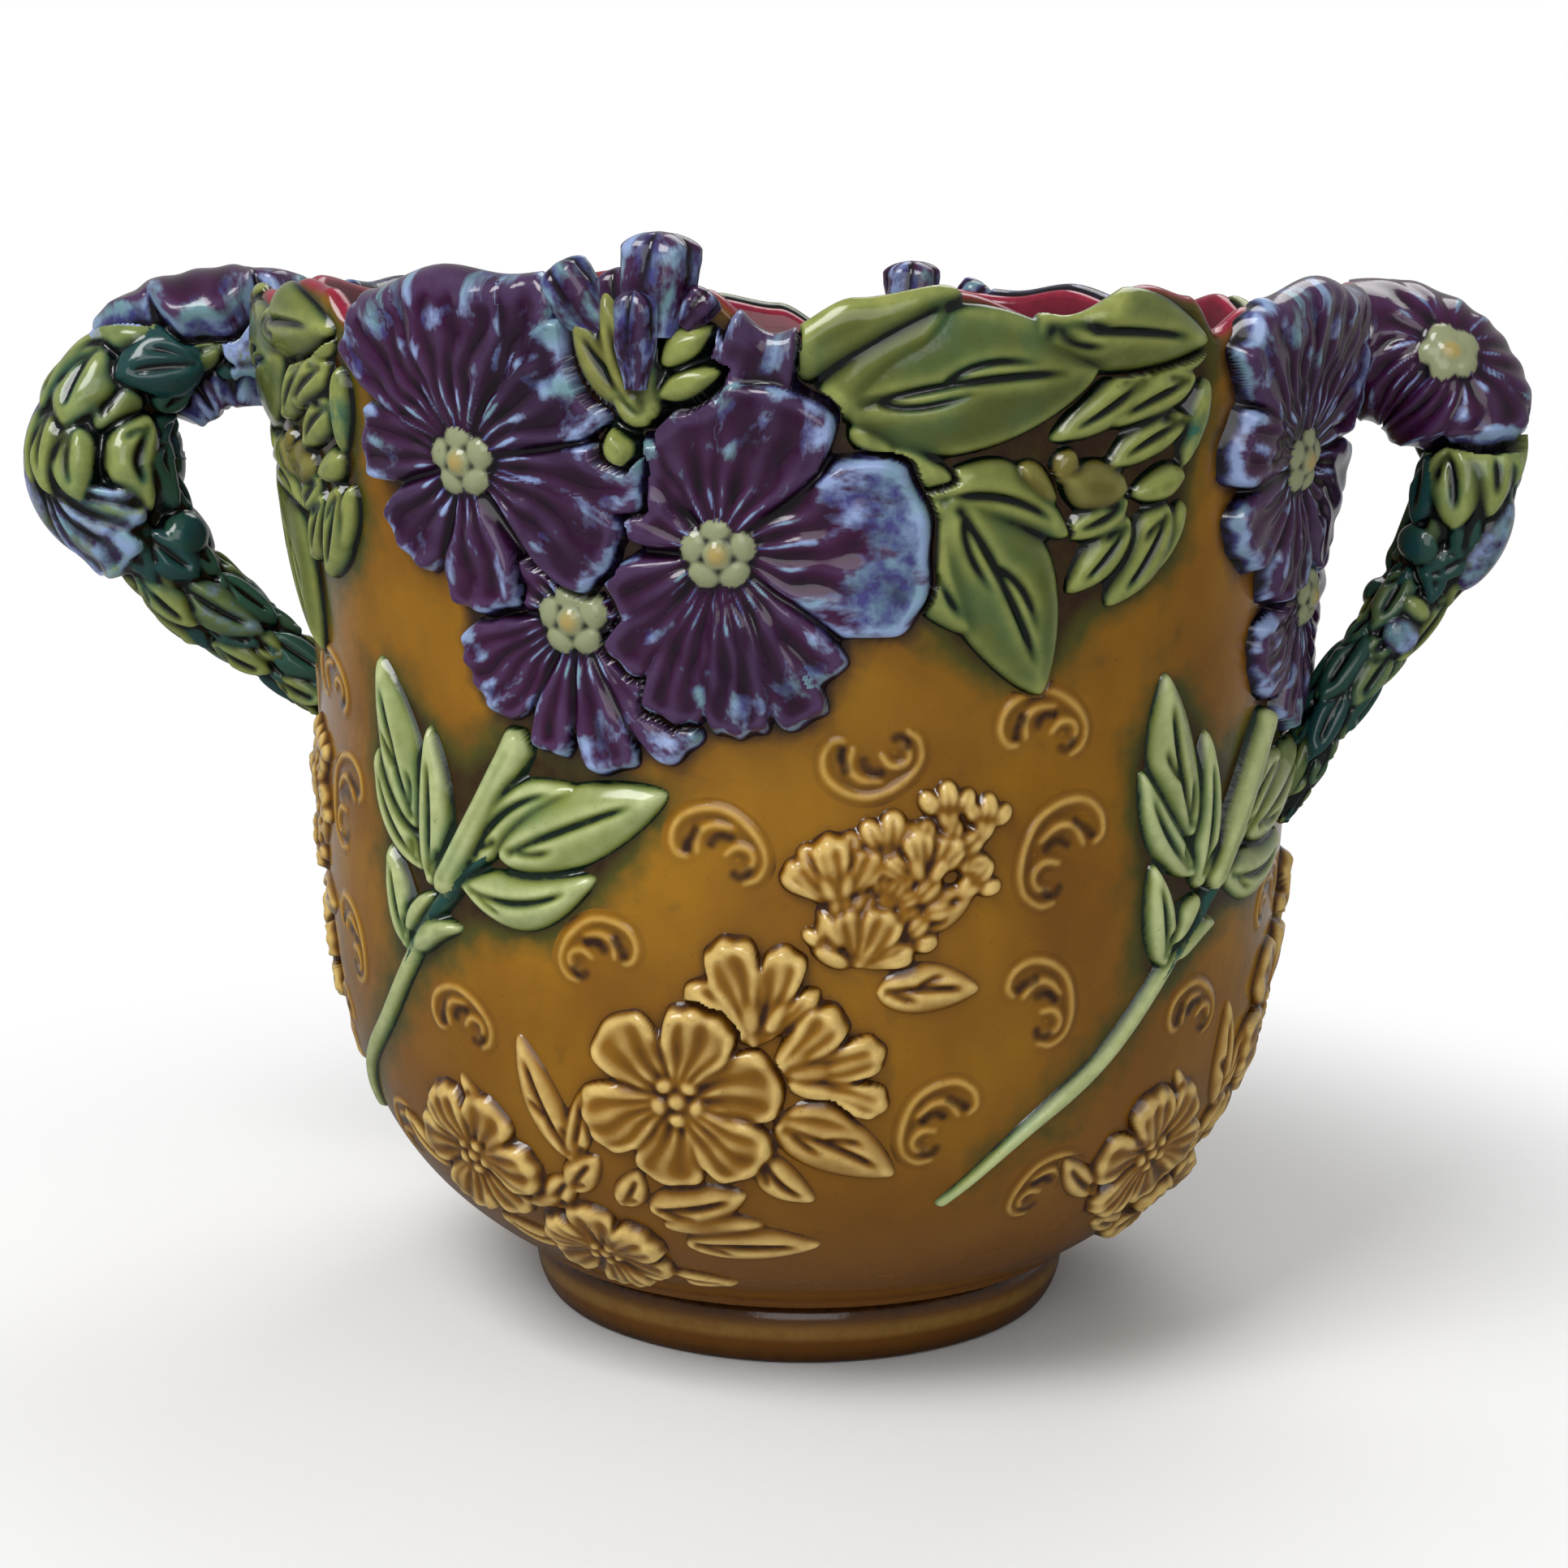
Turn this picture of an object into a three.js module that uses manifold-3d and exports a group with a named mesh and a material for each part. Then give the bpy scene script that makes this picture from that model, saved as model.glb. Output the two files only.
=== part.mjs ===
// A two-handled glazed earthenware jardiniere: a hollow pot on a turned foot ring, with two
// garland handles and flowers, leaves and stems laid over the wall. Millimetres, +Z up.
// The decoration repeats every quarter turn. Angles are in degrees about the pot's axis:
// 0 is the front (-Y), 90 the right (+X). Heights are above the face that the foot rests on.
import * as THREE from "three";
import { mergeVertices } from "three/addons/utils/BufferGeometryUtils.js";
import Module from "manifold-3d";

// ---------------------------------------------------------------- sizes of the pot
const footRadius = 65;
const footHeight = 16;
const footBulge = 2.5; // how far the foot's side swells between its edges
const footWall = 9;
const footChamfer = 1.2;

const lipOverhang = 8; // how far the wall's lower edge stands out over the foot
const lipHeight = 2.2; // rise of that edge above the foot's top
const bellyRadius = 119;
const underRound = 27.5; // how quickly the underside turns up into the belly
const flareStart = 150;
const flarePower = 1.25;
const rimRadius = 131.5;
const rimHeight = 250; // the highest petals on the rim
const wallThickness = 5.5;
const floorThickness = 6;
const rimRound = 1.4; // rise of the rounded edge over its two corners

const pieceGap = 0.3; // between pieces that touch
const layerGap = 0.8; // round a petal or leaf that lies over another
const sprigGap = 0.7; // between the faceted wall and what is laid over it
const sprigEdge = 1.1; // thickness of a petal or leaf at its edge

// The rim's wavy edge over one quarter: angle, and how far it lies under the highest petals.
const rimWaves = [
  [-41, 11], [-36, 6], [-26, 1], [-19, 3], [-7, 0], [-1, 4], [5, 14],
  [12, 7], [21, 4], [31, 10], [40, 2], [45, 4],
];

// ---------------------------------------------------------------- sizes of the handles
// Each row: how far the middle of the garland stands out from the wall at that height, how
// far it lies under the rim's highest petals, its half thickness, and how many degrees it
// leans towards the front. The two are luted by hand and are not quite alike.
const handlePaths = {
  right: [
    [-9, 15, 12, 0], [6, 14, 14.5, 0], [20, 19, 15, 1], [30, 33, 14.5, 1], [32, 50, 13, 2],
    [27, 67, 10.5, 1], [18, 83, 9, 3], [9, 99, 8, 6], [3, 114, 6.5, 8], [-3, 126, 4.5, 8],
  ],
  left: [
    [-9, 15, 12, 0], [8, 14, 14.5, 0], [25, 16, 16, 1], [43, 27, 18, 2], [52, 46, 20, 3],
    [44, 65, 15, 2], [31, 83, 12, 0], [19, 94, 10.5, -2], [8, 103, 9, -3], [-4, 111, 7, -3],
  ],
};
const handleAngles = { right: 90, left: -90 };
const handleSides = 10;
const handleRings = 18;
const handleBlossomAt = 0.22; // share of the handle's length from the rim to the blossom
const handleBlossomReach = 19;
const handleBlossomRise = 5;
const handleBlossomTurn = -100; // degrees from the garland's inner side, past its flank

// ---------------------------------------------------------------- sizes of the decoration
const blossomPetals = 5;
// angle, drop under the rim, reach, rise off the wall, turn of the first petal
const blossoms = {
  blossom_left: { angle: -25.5, drop: 37, reach: 38, rise: 6, turn: 50 },
  blossom_centre: { angle: 0.5, drop: 54, reach: 35, rise: 7, turn: 90 },
  blossom_low: { angle: -14.5, drop: 69, reach: 37, rise: 5, turn: -100 },
};
// Leaves, stems and buds are strips: where they start and end as [angle, drop under the rim],
// their widest half width and their rise.
const rimBuds = [
  { from: [-6, 24], to: [-4.6, -9], half: 9, rise: 9 },
  { from: [-8, 24], to: [-13, 0], half: 6.5, rise: 8 },
  { from: [-5, 24], to: [-0.5, 8], half: 5, rise: 7 },
];
const rimLeafWide = [{ from: [5.5, 19], to: [34, 17], half: 14, rise: 5, bend: 3 }];
const hangingLeaves = [
  { from: [22, 36], to: [32.8, 83], half: 11, rise: 4.5, bend: -2 },
  { from: [23, 38], to: [19, 66], half: 7.5, rise: 3.5, bend: 2 },
];
const clusterLeaves = [
  { from: [37, 28], to: [40.5, 3], half: 9, rise: 5, bend: 0 },
  { from: [35, 32], to: [46, 17], half: 6, rise: 4, bend: -1 },
  { from: [37, 28], to: [33.5, 50], half: 6.5, rise: 4, bend: 0 },
  { from: [37, 28], to: [41, 66], half: 8, rise: 4, bend: 2 },
];
const sprayStem = { from: [68.5, 96], to: [25.6, 197], half: 3.4, rise: 3.5, bend: 5.5 };
const sprayLeaves = [
  { from: [57.5, 130], to: [45, 82], half: 7, rise: 4, bend: -2 },
  { from: [57.5, 130], to: [55, 96], half: 5, rise: 4, bend: 1 },
  { from: [58, 129], to: [83, 107], half: 11, rise: 4.5, bend: 2 },
  { from: [51.5, 147], to: [48, 125], half: 4.5, rise: 3, bend: 1 },
  { from: [54, 141], to: [61, 137], half: 4, rise: 3, bend: 0 },
];
// The ochre sprays are placed by their height above the foot's top.
const ochreBlossoms = [
  { angle: -5, height: 63, reach: 24, rise: 4.5, turn: 80 },
  { angle: -35.2, height: 41, reach: 18, rise: 4, turn: 20 },
  { angle: -18.9, height: 21, reach: 16, rise: 4, turn: 60 },
];
const ochreLeaves = [
  { from: [-20, 48], to: [-24.5, 79], half: 7, rise: 3, bend: 1 },
  { from: [0, 55], to: [19, 45], half: 8.5, rise: 3, bend: 2 },
  { from: [-12, 42], to: [3.5, 39], half: 6.5, rise: 3, bend: -2 },
  { from: [-14, 24], to: [11, 26], half: 6.5, rise: 3, bend: 2 },
  { from: [-8, 56], to: [-38, 40], half: 6, rise: 2.5, bend: 0 },
  { from: [-36, 43], to: [-17, 17], half: 6, rise: 2.5, bend: 0 },
];
const ochreBuds = [
  { from: [5, 82], to: [-2, 106], half: 10, rise: 4.5, bend: 0 },
  { from: [5, 83], to: [18, 75], half: 11, rise: 4.5, bend: 1 },
  { from: [7, 88], to: [10, 122], half: 8, rise: 4, bend: -3 },
  { from: [8, 88], to: [26.5, 131], half: 8.5, rise: 4.5, bend: -1 },
  { from: [12, 88], to: [29.5, 88], half: 6, rise: 3, bend: 2 },
];

const quarters = { front: 0, right: 90, back: 180, left: 270 };

// ---------------------------------------------------------------- mesh fineness
const wallColumns = 60;
const outerRows = 9;
const innerRows = 6;
const blossomSpokes = 15;
const fewestSteps = 4; // along a leaf, stem or bud
const fewestLowSteps = 3; // the same on the ochre relief
const longestStep = 15; // along the curved wall
const rowPower = 1.4; // the wall's rows lie closer together where it turns in at the foot

// ---------------------------------------------------------------- glazes
const glaze = (name, color) => {
  const material = new THREE.MeshStandardMaterial({ color, roughness: 0.2, metalness: 0 });
  material.name = name;
  return material;
};
const ochreGlaze = glaze("ochre_glaze", 0xa8701c);
const footGlaze = glaze("foot_glaze", 0x94651c);
const purpleGlaze = glaze("purple_glaze", 0x4c2450);
const lilacGlaze = glaze("lilac_glaze", 0x7a76a8);
const greenGlaze = glaze("green_glaze", 0x8f9a4c);
const garlandGlaze = glaze("garland_glaze", 0x5d7350);
const strawGlaze = glaze("straw_glaze", 0xc49a4a);

// ---------------------------------------------------------------- solids
const wasm = await Module();
wasm.setup();

const radians = THREE.MathUtils.degToRad;

function solidOf(geometry) {
  const bare = geometry.clone();
  bare.deleteAttribute("normal");
  bare.deleteAttribute("uv");
  const merged = mergeVertices(bare, 1e-4);
  const vertProperties = new Float32Array(merged.attributes.position.array);
  const triVerts = new Uint32Array(merged.index.array);
  return new wasm.Manifold(new wasm.Mesh({ numProp: 3, vertProperties, triVerts }));
}

function geometryOf(solid) {
  const mesh = solid.getMesh();
  const geometry = new THREE.BufferGeometry();
  geometry.setAttribute("position", new THREE.BufferAttribute(mesh.vertProperties, 3));
  geometry.setIndex(new THREE.BufferAttribute(mesh.triVerts, 1));
  return geometry;
}

function geometryFrom(points, triangles) {
  const geometry = new THREE.BufferGeometry();
  geometry.setFromPoints(points);
  geometry.setIndex(triangles);
  return geometry;
}

function meshOf(name, geometry, material) {
  const mesh = new THREE.Mesh(geometry, material);
  mesh.name = name;
  return mesh;
}

const joined = (solids) => solids.reduce((whole, solid) => whole.add(solid));
const turned = (solid, degrees) => solid.rotate([0, 0, degrees]);

// A closed surface of rings that run round an axis, from a first point to a last one.
function closedRings(first, rings, last) {
  const points = [first, ...rings.flat(), last];
  const count = rings[0].length;
  const triangles = [];
  const at = (ring, column) => 1 + ring * count + (column % count);
  for (let column = 0; column < count; column++) {
    triangles.push(0, at(0, column + 1), at(0, column));
    triangles.push(points.length - 1, at(rings.length - 1, column), at(rings.length - 1, column + 1));
    for (let ring = 0; ring + 1 < rings.length; ring++) {
      triangles.push(at(ring, column), at(ring, column + 1), at(ring + 1, column + 1));
      triangles.push(at(ring, column), at(ring + 1, column + 1), at(ring + 1, column));
    }
  }
  return geometryFrom(points, triangles);
}

// ---------------------------------------------------------------- the wall's shape
const bodyBase = footHeight + pieceGap;
const lipRadius = footRadius + lipOverhang;
const lipLevel = bodyBase + lipHeight;

function wallRadius(height) {
  const under = (bellyRadius - lipRadius) * Math.exp(-(height - lipLevel) / underRound);
  const share = Math.max(0, (height - flareStart) / (rimHeight - flareStart));
  return bellyRadius - under + (rimRadius - bellyRadius) * share ** flarePower;
}

function wallSlope(height) {
  const step = 0.5;
  return (wallRadius(height + step) - wallRadius(height - step)) / (2 * step);
}

function rimEdge(angle) {
  const first = rimWaves[0];
  const wave = ((((angle - first[0]) % 90) + 90) % 90) + first[0];
  const closed = [...rimWaves, [first[0] + 90, first[1]]];
  const next = closed.findIndex(([at]) => at > wave);
  const [fromAngle, fromDrop] = closed[next - 1];
  const [toAngle, toDrop] = closed[next];
  const share = THREE.MathUtils.smoothstep(wave, fromAngle, toAngle);
  return rimHeight - THREE.MathUtils.lerp(fromDrop, toDrop, share);
}

function around(angle, radius, height) {
  const turn = radians(angle);
  return new THREE.Vector3(radius * Math.sin(turn), -radius * Math.cos(turn), height);
}

// A point laid on the wall: x millimetres to the right of a place, y up along the wall from
// it, and lifted off the wall square to it.
function onWall([angle, height], x, y, lift) {
  const slope = wallSlope(height);
  const level = height + y / Math.hypot(1, slope);
  const radius = wallRadius(level);
  const tilt = wallSlope(level);
  const lean = Math.hypot(1, tilt);
  const turn = angle + THREE.MathUtils.radToDeg(x / radius);
  return around(turn, radius + lift / lean, level - (lift * tilt) / lean);
}

// ---------------------------------------------------------------- foot and body
function footRing() {
  const inner = footRadius - footWall;
  const side = [];
  const sideSteps = 3;
  for (let i = 0; i <= sideSteps; i++) {
    const share = i / sideSteps;
    const height = footChamfer + (footHeight - 2 * footChamfer) * share;
    side.push(new THREE.Vector2(footRadius + footBulge * Math.sin(Math.PI * share * 0.7), height));
  }
  const top = side[side.length - 1].x - footChamfer;
  const profile = [
    new THREE.Vector2(inner, 0),
    new THREE.Vector2(footRadius - footChamfer, 0),
    ...side,
    new THREE.Vector2(top, footHeight),
    new THREE.Vector2(inner, footHeight),
    new THREE.Vector2(inner, 0),
  ];
  const ring = new THREE.LatheGeometry(profile, wallColumns);
  return ring.rotateX(Math.PI / 2);
}

const level = (height) => () => height;
function ringAt(radiusOf, heightOf) {
  const ring = [];
  for (let column = 0; column < wallColumns; column++) {
    const angle = (360 * column) / wallColumns;
    ring.push(around(angle, radiusOf(angle), heightOf(angle)));
  }
  return ring;
}

// The wall's outside from the lip to the wavy rim, `gap` outside itself.
function outerRings(gap) {
  const rings = [];
  for (let row = 0; row <= outerRows; row++) {
    const share = (row / outerRows) ** rowPower;
    const heightAt = (angle) => THREE.MathUtils.lerp(lipLevel, rimEdge(angle), share);
    rings.push(ringAt((angle) => wallRadius(heightAt(angle)) + gap, heightAt));
  }
  return rings;
}

function potBody() {
  const inset = (height) => wallRadius(height) - wallThickness * Math.hypot(1, wallSlope(height));
  const floorLevel = bodyBase + floorThickness;
  const innerStart = floorLevel + wallThickness / 2;
  const rings = [
    ringAt(level(footRadius / 2), level(bodyBase)),
    ringAt(level(footRadius), level(bodyBase)),
    ...outerRings(0),
  ];
  const rimMiddle = (angle) => wallRadius(rimEdge(angle)) - wallThickness / 2;
  rings.push(ringAt(rimMiddle, (angle) => rimEdge(angle) + rimRound));
  for (let row = innerRows; row >= 0; row--) {
    const share = (row / innerRows) ** rowPower;
    const heightAt = (angle) => THREE.MathUtils.lerp(innerStart, rimEdge(angle), share);
    rings.push(ringAt((angle) => inset(heightAt(angle)), heightAt));
  }
  rings.push(ringAt(level(inset(innerStart) - wallThickness), level(floorLevel)));
  const first = new THREE.Vector3(0, 0, bodyBase);
  const last = new THREE.Vector3(0, 0, floorLevel);
  return closedRings(first, rings, last);
}

// Everything inside the wall's outside, with a gap to it, on the wall's own rows and columns:
// what is laid on the wall or luted to it is cut by this.
const rimClearance = 40; // how far it rises over the rim, past the handles' roots
function wallEnvelope(gap) {
  const rings = outerRings(gap);
  const top = rimHeight + rimClearance;
  rings.push(ringAt((angle) => wallRadius(rimEdge(angle)) + gap, level(top)));
  return solidOf(closedRings(around(0, 0, bodyBase), rings, around(0, 0, top)));
}

// ---------------------------------------------------------------- handles
// The garland as a tube along its path. `extra` grows it, to cut what lies near it.
function garland(side, extra) {
  const rows = handlePaths[side];
  const angle = handleAngles[side];
  const forward = side === "right" ? -1 : 1;
  const middles = rows.map(([out, drop, , lean]) => {
    const height = rimHeight - drop;
    return around(angle + forward * lean, wallRadius(height) + out, height);
  });
  const curve = new THREE.CatmullRomCurve3(middles, false, "centripetal");
  const thickness = new THREE.CatmullRomCurve3(
    rows.map(([, , half], i) => new THREE.Vector3(i, half, 0)),
  );
  const across = around(angle + 90, 1, 0);
  const frames = [];
  for (let i = 0; i <= handleRings; i++) {
    const share = i / handleRings;
    const along = curve.getTangent(share);
    const inward = new THREE.Vector3().crossVectors(across, along).normalize();
    const sideways = new THREE.Vector3().crossVectors(along, inward).normalize();
    const half = thickness.getPoint(share).y + extra;
    frames.push({ middle: curve.getPoint(share), inward, sideways, half });
  }
  return frames;
}

function onGarland({ middle, inward, sideways, half }, turn, lift) {
  const reach = half + lift;
  return middle
    .clone()
    .addScaledVector(inward, reach * Math.cos(turn))
    .addScaledVector(sideways, reach * Math.sin(turn));
}

function garlandSolid(side, extra) {
  const frames = garland(side, extra);
  const rings = frames.map((frame) => {
    const ring = [];
    for (let i = 0; i < handleSides; i++) ring.push(onGarland(frame, (2 * Math.PI * i) / handleSides, 0));
    return ring;
  });
  return solidOf(closedRings(frames[0].middle, rings, frames[frames.length - 1].middle));
}

// ---------------------------------------------------------------- flowers and leaves
// A patch of rings round a middle, laid by `place(x, y, lift)`. The top swells between its
// middle and its edge, and the underside lies on what carries it.
function patch(place, outline, rise, below, edge) {
  const swellAt = 0.62; // share of the reach where the top is highest
  const underAt = 0.5;
  const hollow = 0.75; // the middle of a blossom is lower than its petals
  const ringAt = (share, lift) => outline.map(([x, y]) => place(x * share, y * share, lift));
  const rings = [
    ringAt(swellAt, rise),
    ringAt(1, edge),
    ringAt(1, below),
    ringAt(underAt, below),
  ];
  return solidOf(closedRings(place(0, 0, rise * hollow), rings, place(0, 0, below)));
}

function petalOutline(reach, petals, turn, spokes) {
  const notch = 0.07; // half the depth of the notch between two petals, over the reach
  const outline = [];
  for (let i = 0; i < spokes; i++) {
    const angle = (-2 * Math.PI * i) / spokes;
    const wave = 1 - notch + notch * Math.cos(petals * (angle - radians(turn)));
    outline.push([reach * wave * Math.cos(angle), reach * wave * Math.sin(angle)]);
  }
  return outline;
}

// The outline stops short of the rim, so that a petal's edge is the rim's edge.
function underRim(place, outline) {
  const [angle, height] = place;
  const shortest = 0.3; // share of the reach that always stays
  const trim = 0.02;
  return outline.map(([x, y]) => {
    let share = 1;
    const fits = () => {
      const turn = angle + THREE.MathUtils.radToDeg((x * share) / wallRadius(height));
      return height + y * share <= rimEdge(turn);
    };
    while (share > shortest && !fits()) share -= trim;
    return [x * share, y * share];
  });
}

function wallBlossom(place, { reach, rise, turn }, edge, below, grow) {
  const outline = petalOutline(reach + grow, blossomPetals, turn, blossomSpokes);
  const lay = (x, y, lift) => onWall(place, x, y, lift);
  return patch(lay, underRim(place, outline), rise, below, edge);
}

// A leaf, stem or bud: a strip from one place on the wall to another, pointed at its ends.
function wallStrip({ from, to, half, rise, bend = 0, fewest = fewestSteps }, widthAt, below, grow) {
  const middle = [(from[0] + to[0]) / 2, (from[1] + to[1]) / 2];
  const radius = wallRadius(middle[1]);
  const stretch = Math.hypot(1, wallSlope(middle[1]));
  const dx = radians(to[0] - from[0]) * radius;
  const dy = (to[1] - from[1]) * stretch;
  const length = Math.hypot(dx, dy);
  const along = [dx / length, dy / length];
  const across = [-along[1], along[0]];
  const lay = (s, t, lift) => {
    const x = along[0] * s + across[0] * t;
    const y = along[1] * s + across[1] * t;
    return onWall(middle, x, y, lift);
  };
  const tipRise = 0.35; // rise at a tip without width, over the rise at the middle
  const steps = Math.max(fewest, Math.ceil(length / longestStep));
  const points = [];
  const triangles = [];
  for (let i = 0; i <= steps; i++) {
    const share = i / steps;
    const s = (share - 0.5) * (length + 2 * grow);
    const bow = bend * Math.sin(Math.PI * share);
    const width = half * widthAt(share) + grow;
    const edge = sprigEdge + below;
    const lift = Math.max(edge, rise * THREE.MathUtils.lerp(tipRise, 1, widthAt(share)));
    points.push(lay(s, bow - width, edge));
    points.push(lay(s, bow, lift));
    points.push(lay(s, bow + width, edge));
    points.push(lay(s, bow + width, below));
    points.push(lay(s, bow, below));
    points.push(lay(s, bow - width, below));
  }
  const loop = 6;
  for (let i = 0; i < steps; i++) {
    for (let j = 0; j < loop; j++) {
      const a = i * loop + j;
      const b = i * loop + ((j + 1) % loop);
      triangles.push(a, a + loop, b + loop, a, b + loop, b);
    }
  }
  const endFaces = [[0, 1, 4], [0, 4, 5], [1, 2, 3], [1, 3, 4]];
  const cap = (start, turnRound) => {
    for (const face of endFaces) {
      const corners = face.map((corner) => start + corner);
      triangles.push(...(turnRound ? corners.reverse() : corners));
    }
  };
  cap(0, false);
  cap(steps * loop, true);
  return solidOf(geometryFrom(points, triangles));
}

const leafWidth = (share) => 0.08 + 0.92 * Math.sin(Math.PI * share ** 0.85) ** 0.9;
const budWidth = (share) => 0.45 + 0.55 * Math.sin(Math.PI * (0.15 + 0.75 * share));

const cutDepth = -3; // a cutter starts inside the wall
const cutRise = 14; // and ends over everything that lies there

const fromRim = ([angle, drop]) => [angle, rimHeight - drop];
const fromFoot = ([angle, rise]) => [angle, footHeight + rise];

function strips(list, placeOf, widthAt, fewest = fewestSteps) {
  const laid = ({ from, to, ...rest }) => ({ ...rest, fewest, from: placeOf(from), to: placeOf(to) });
  const solids = list.map((strip) => wallStrip(laid(strip), widthAt, sprigGap, 0));
  const cutters = list.map((strip) =>
    wallStrip({ ...laid(strip), rise: cutRise }, widthAt, cutDepth, layerGap),
  );
  return { solid: joined(solids), cutter: joined(cutters) };
}

function blossomGroup(list, placeOf) {
  const solids = list.map((flower) =>
    wallBlossom(placeOf(flower), flower, sprigGap + sprigEdge, sprigGap, 0),
  );
  const cutters = list.map((flower) => {
    const tall = { ...flower, rise: cutRise };
    return wallBlossom(placeOf(flower), tall, cutRise, cutDepth, layerGap);
  });
  return { solid: joined(solids), cutter: joined(cutters) };
}

// The blossom over a handle's root, wrapped on the garland.
function garlandBlossom(side, grow) {
  const frames = garland(side, 0);
  const at = Math.round(handleBlossomAt * handleRings);
  const length = frames[at + 1].middle.distanceTo(frames[at].middle);
  const lay = (x, y, lift) => {
    const place = Math.max(0, at + x / length);
    const low = Math.floor(place);
    const share = place - low;
    const from = frames[low];
    const to = frames[low + 1];
    const frame = {
      middle: from.middle.clone().lerp(to.middle, share),
      inward: from.inward.clone().lerp(to.inward, share).normalize(),
      sideways: from.sideways.clone().lerp(to.sideways, share).normalize(),
      half: THREE.MathUtils.lerp(from.half, to.half, share),
    };
    return onGarland(frame, radians(handleBlossomTurn) - y / frame.half, lift);
  };
  const outline = petalOutline(handleBlossomReach + grow, blossomPetals, 0, blossomSpokes);
  return patch(lay, outline, handleBlossomRise + grow, -sprigEdge, sprigEdge + grow);
}

// ---------------------------------------------------------------- assembly
const jardiniere = new THREE.Group();
jardiniere.add(meshOf("foot_ring", footRing(), footGlaze));
jardiniere.add(meshOf("pot_body", potBody(), ochreGlaze));

const largestOf = (solid) => solid.decompose().sort((a, b) => b.volume() - a.volume())[0];
const envelope = wallEnvelope(sprigGap);
const cutters = [wallEnvelope(pieceGap)];
for (const side of Object.keys(handlePaths)) {
  const handle = largestOf(garlandSolid(side, 0).subtract(envelope));
  const cutter = garlandSolid(side, sprigGap);
  const flower = largestOf(garlandBlossom(side, 0).subtract(cutter).subtract(envelope));
  jardiniere.add(meshOf(`handle_${side}`, geometryOf(handle), garlandGlaze));
  jardiniere.add(meshOf(`handle_blossom_${side}`, geometryOf(flower), purpleGlaze));
  cutters.push(cutter, garlandBlossom(side, pieceGap));
}

// What is laid over the wall, from the uppermost layer to the lowest: each piece is cut back
// by those over it, also by those of the next quarters.
const everyQuarter = Object.keys(quarters);
const frontAndBack = ["front", "back"];
const blossomOf = (name) => blossomGroup([blossoms[name]], ({ angle, drop }) => fromRim([angle, drop]));
const ochreAt = ({ angle, height }) => fromFoot([angle, height]);
const ochreFlowers = blossomGroup(ochreBlossoms, ochreAt);
const ochreFoliage = strips(ochreLeaves, fromFoot, leafWidth, fewestLowSteps);
const ochreSpray = {
  solid: ochreFlowers.solid.add(ochreFoliage.solid),
  cutter: ochreFlowers.cutter.add(ochreFoliage.cutter),
};
const layers = [
  ["blossom_left", everyQuarter, purpleGlaze, blossomOf("blossom_left")],
  ["blossom_centre", frontAndBack, purpleGlaze, blossomOf("blossom_centre")],
  ["rim_buds", frontAndBack, lilacGlaze, strips(rimBuds, fromRim, budWidth)],
  ["blossom_low", everyQuarter, purpleGlaze, blossomOf("blossom_low")],
  ["rim_leaf", everyQuarter, greenGlaze, strips(rimLeafWide, fromRim, leafWidth)],
  ["hanging_leaf", everyQuarter, greenGlaze, strips(hangingLeaves, fromRim, leafWidth)],
  ["leaf_cluster", everyQuarter, greenGlaze, strips(clusterLeaves, fromRim, leafWidth)],
  ["stem_spray", everyQuarter, greenGlaze, strips([...sprayLeaves, sprayStem], fromRim, leafWidth)],
  ["ochre_blossoms", everyQuarter, strawGlaze, ochreSpray],
  ["ochre_buds", everyQuarter, strawGlaze, strips(ochreBuds, fromFoot, budWidth, fewestLowSteps)],
];
for (const [name, places, material, { solid, cutter }] of layers) {
  for (const quarter of places) {
    const angle = quarters[quarter];
    const cut = cutters.reduce((rest, over) => rest.subtract(over), turned(solid, angle));
    jardiniere.add(meshOf(`${name}_${quarter}`, geometryOf(largestOf(cut)), material));
  }
  for (const quarter of places) cutters.push(turned(cutter, quarters[quarter]));
}

// The origin is under the middle of the whole, handles included, on the face it rests on.
const middle = new THREE.Box3().setFromObject(jardiniere).getCenter(new THREE.Vector3());
jardiniere.position.set(-middle.x, -middle.y, 0);

export default jardiniere;
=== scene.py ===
"""A two-handled majolica jardiniere: the glazed pot on its foot, two garland handles, and
flowers, leaves and stems in relief.

Every ornament is laid as a height in millimetres on a carrier: the pot's wall, or a handle.
Places on the wall are (angle, height): degrees about the pot's axis, 0 at the front and 90 at
the right, and millimetres over the floor. Places on a handle are (turn, distance): degrees
round the garland, 0 on its inner side and -90 on its front flank, and millimetres from the rim.
"""

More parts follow.
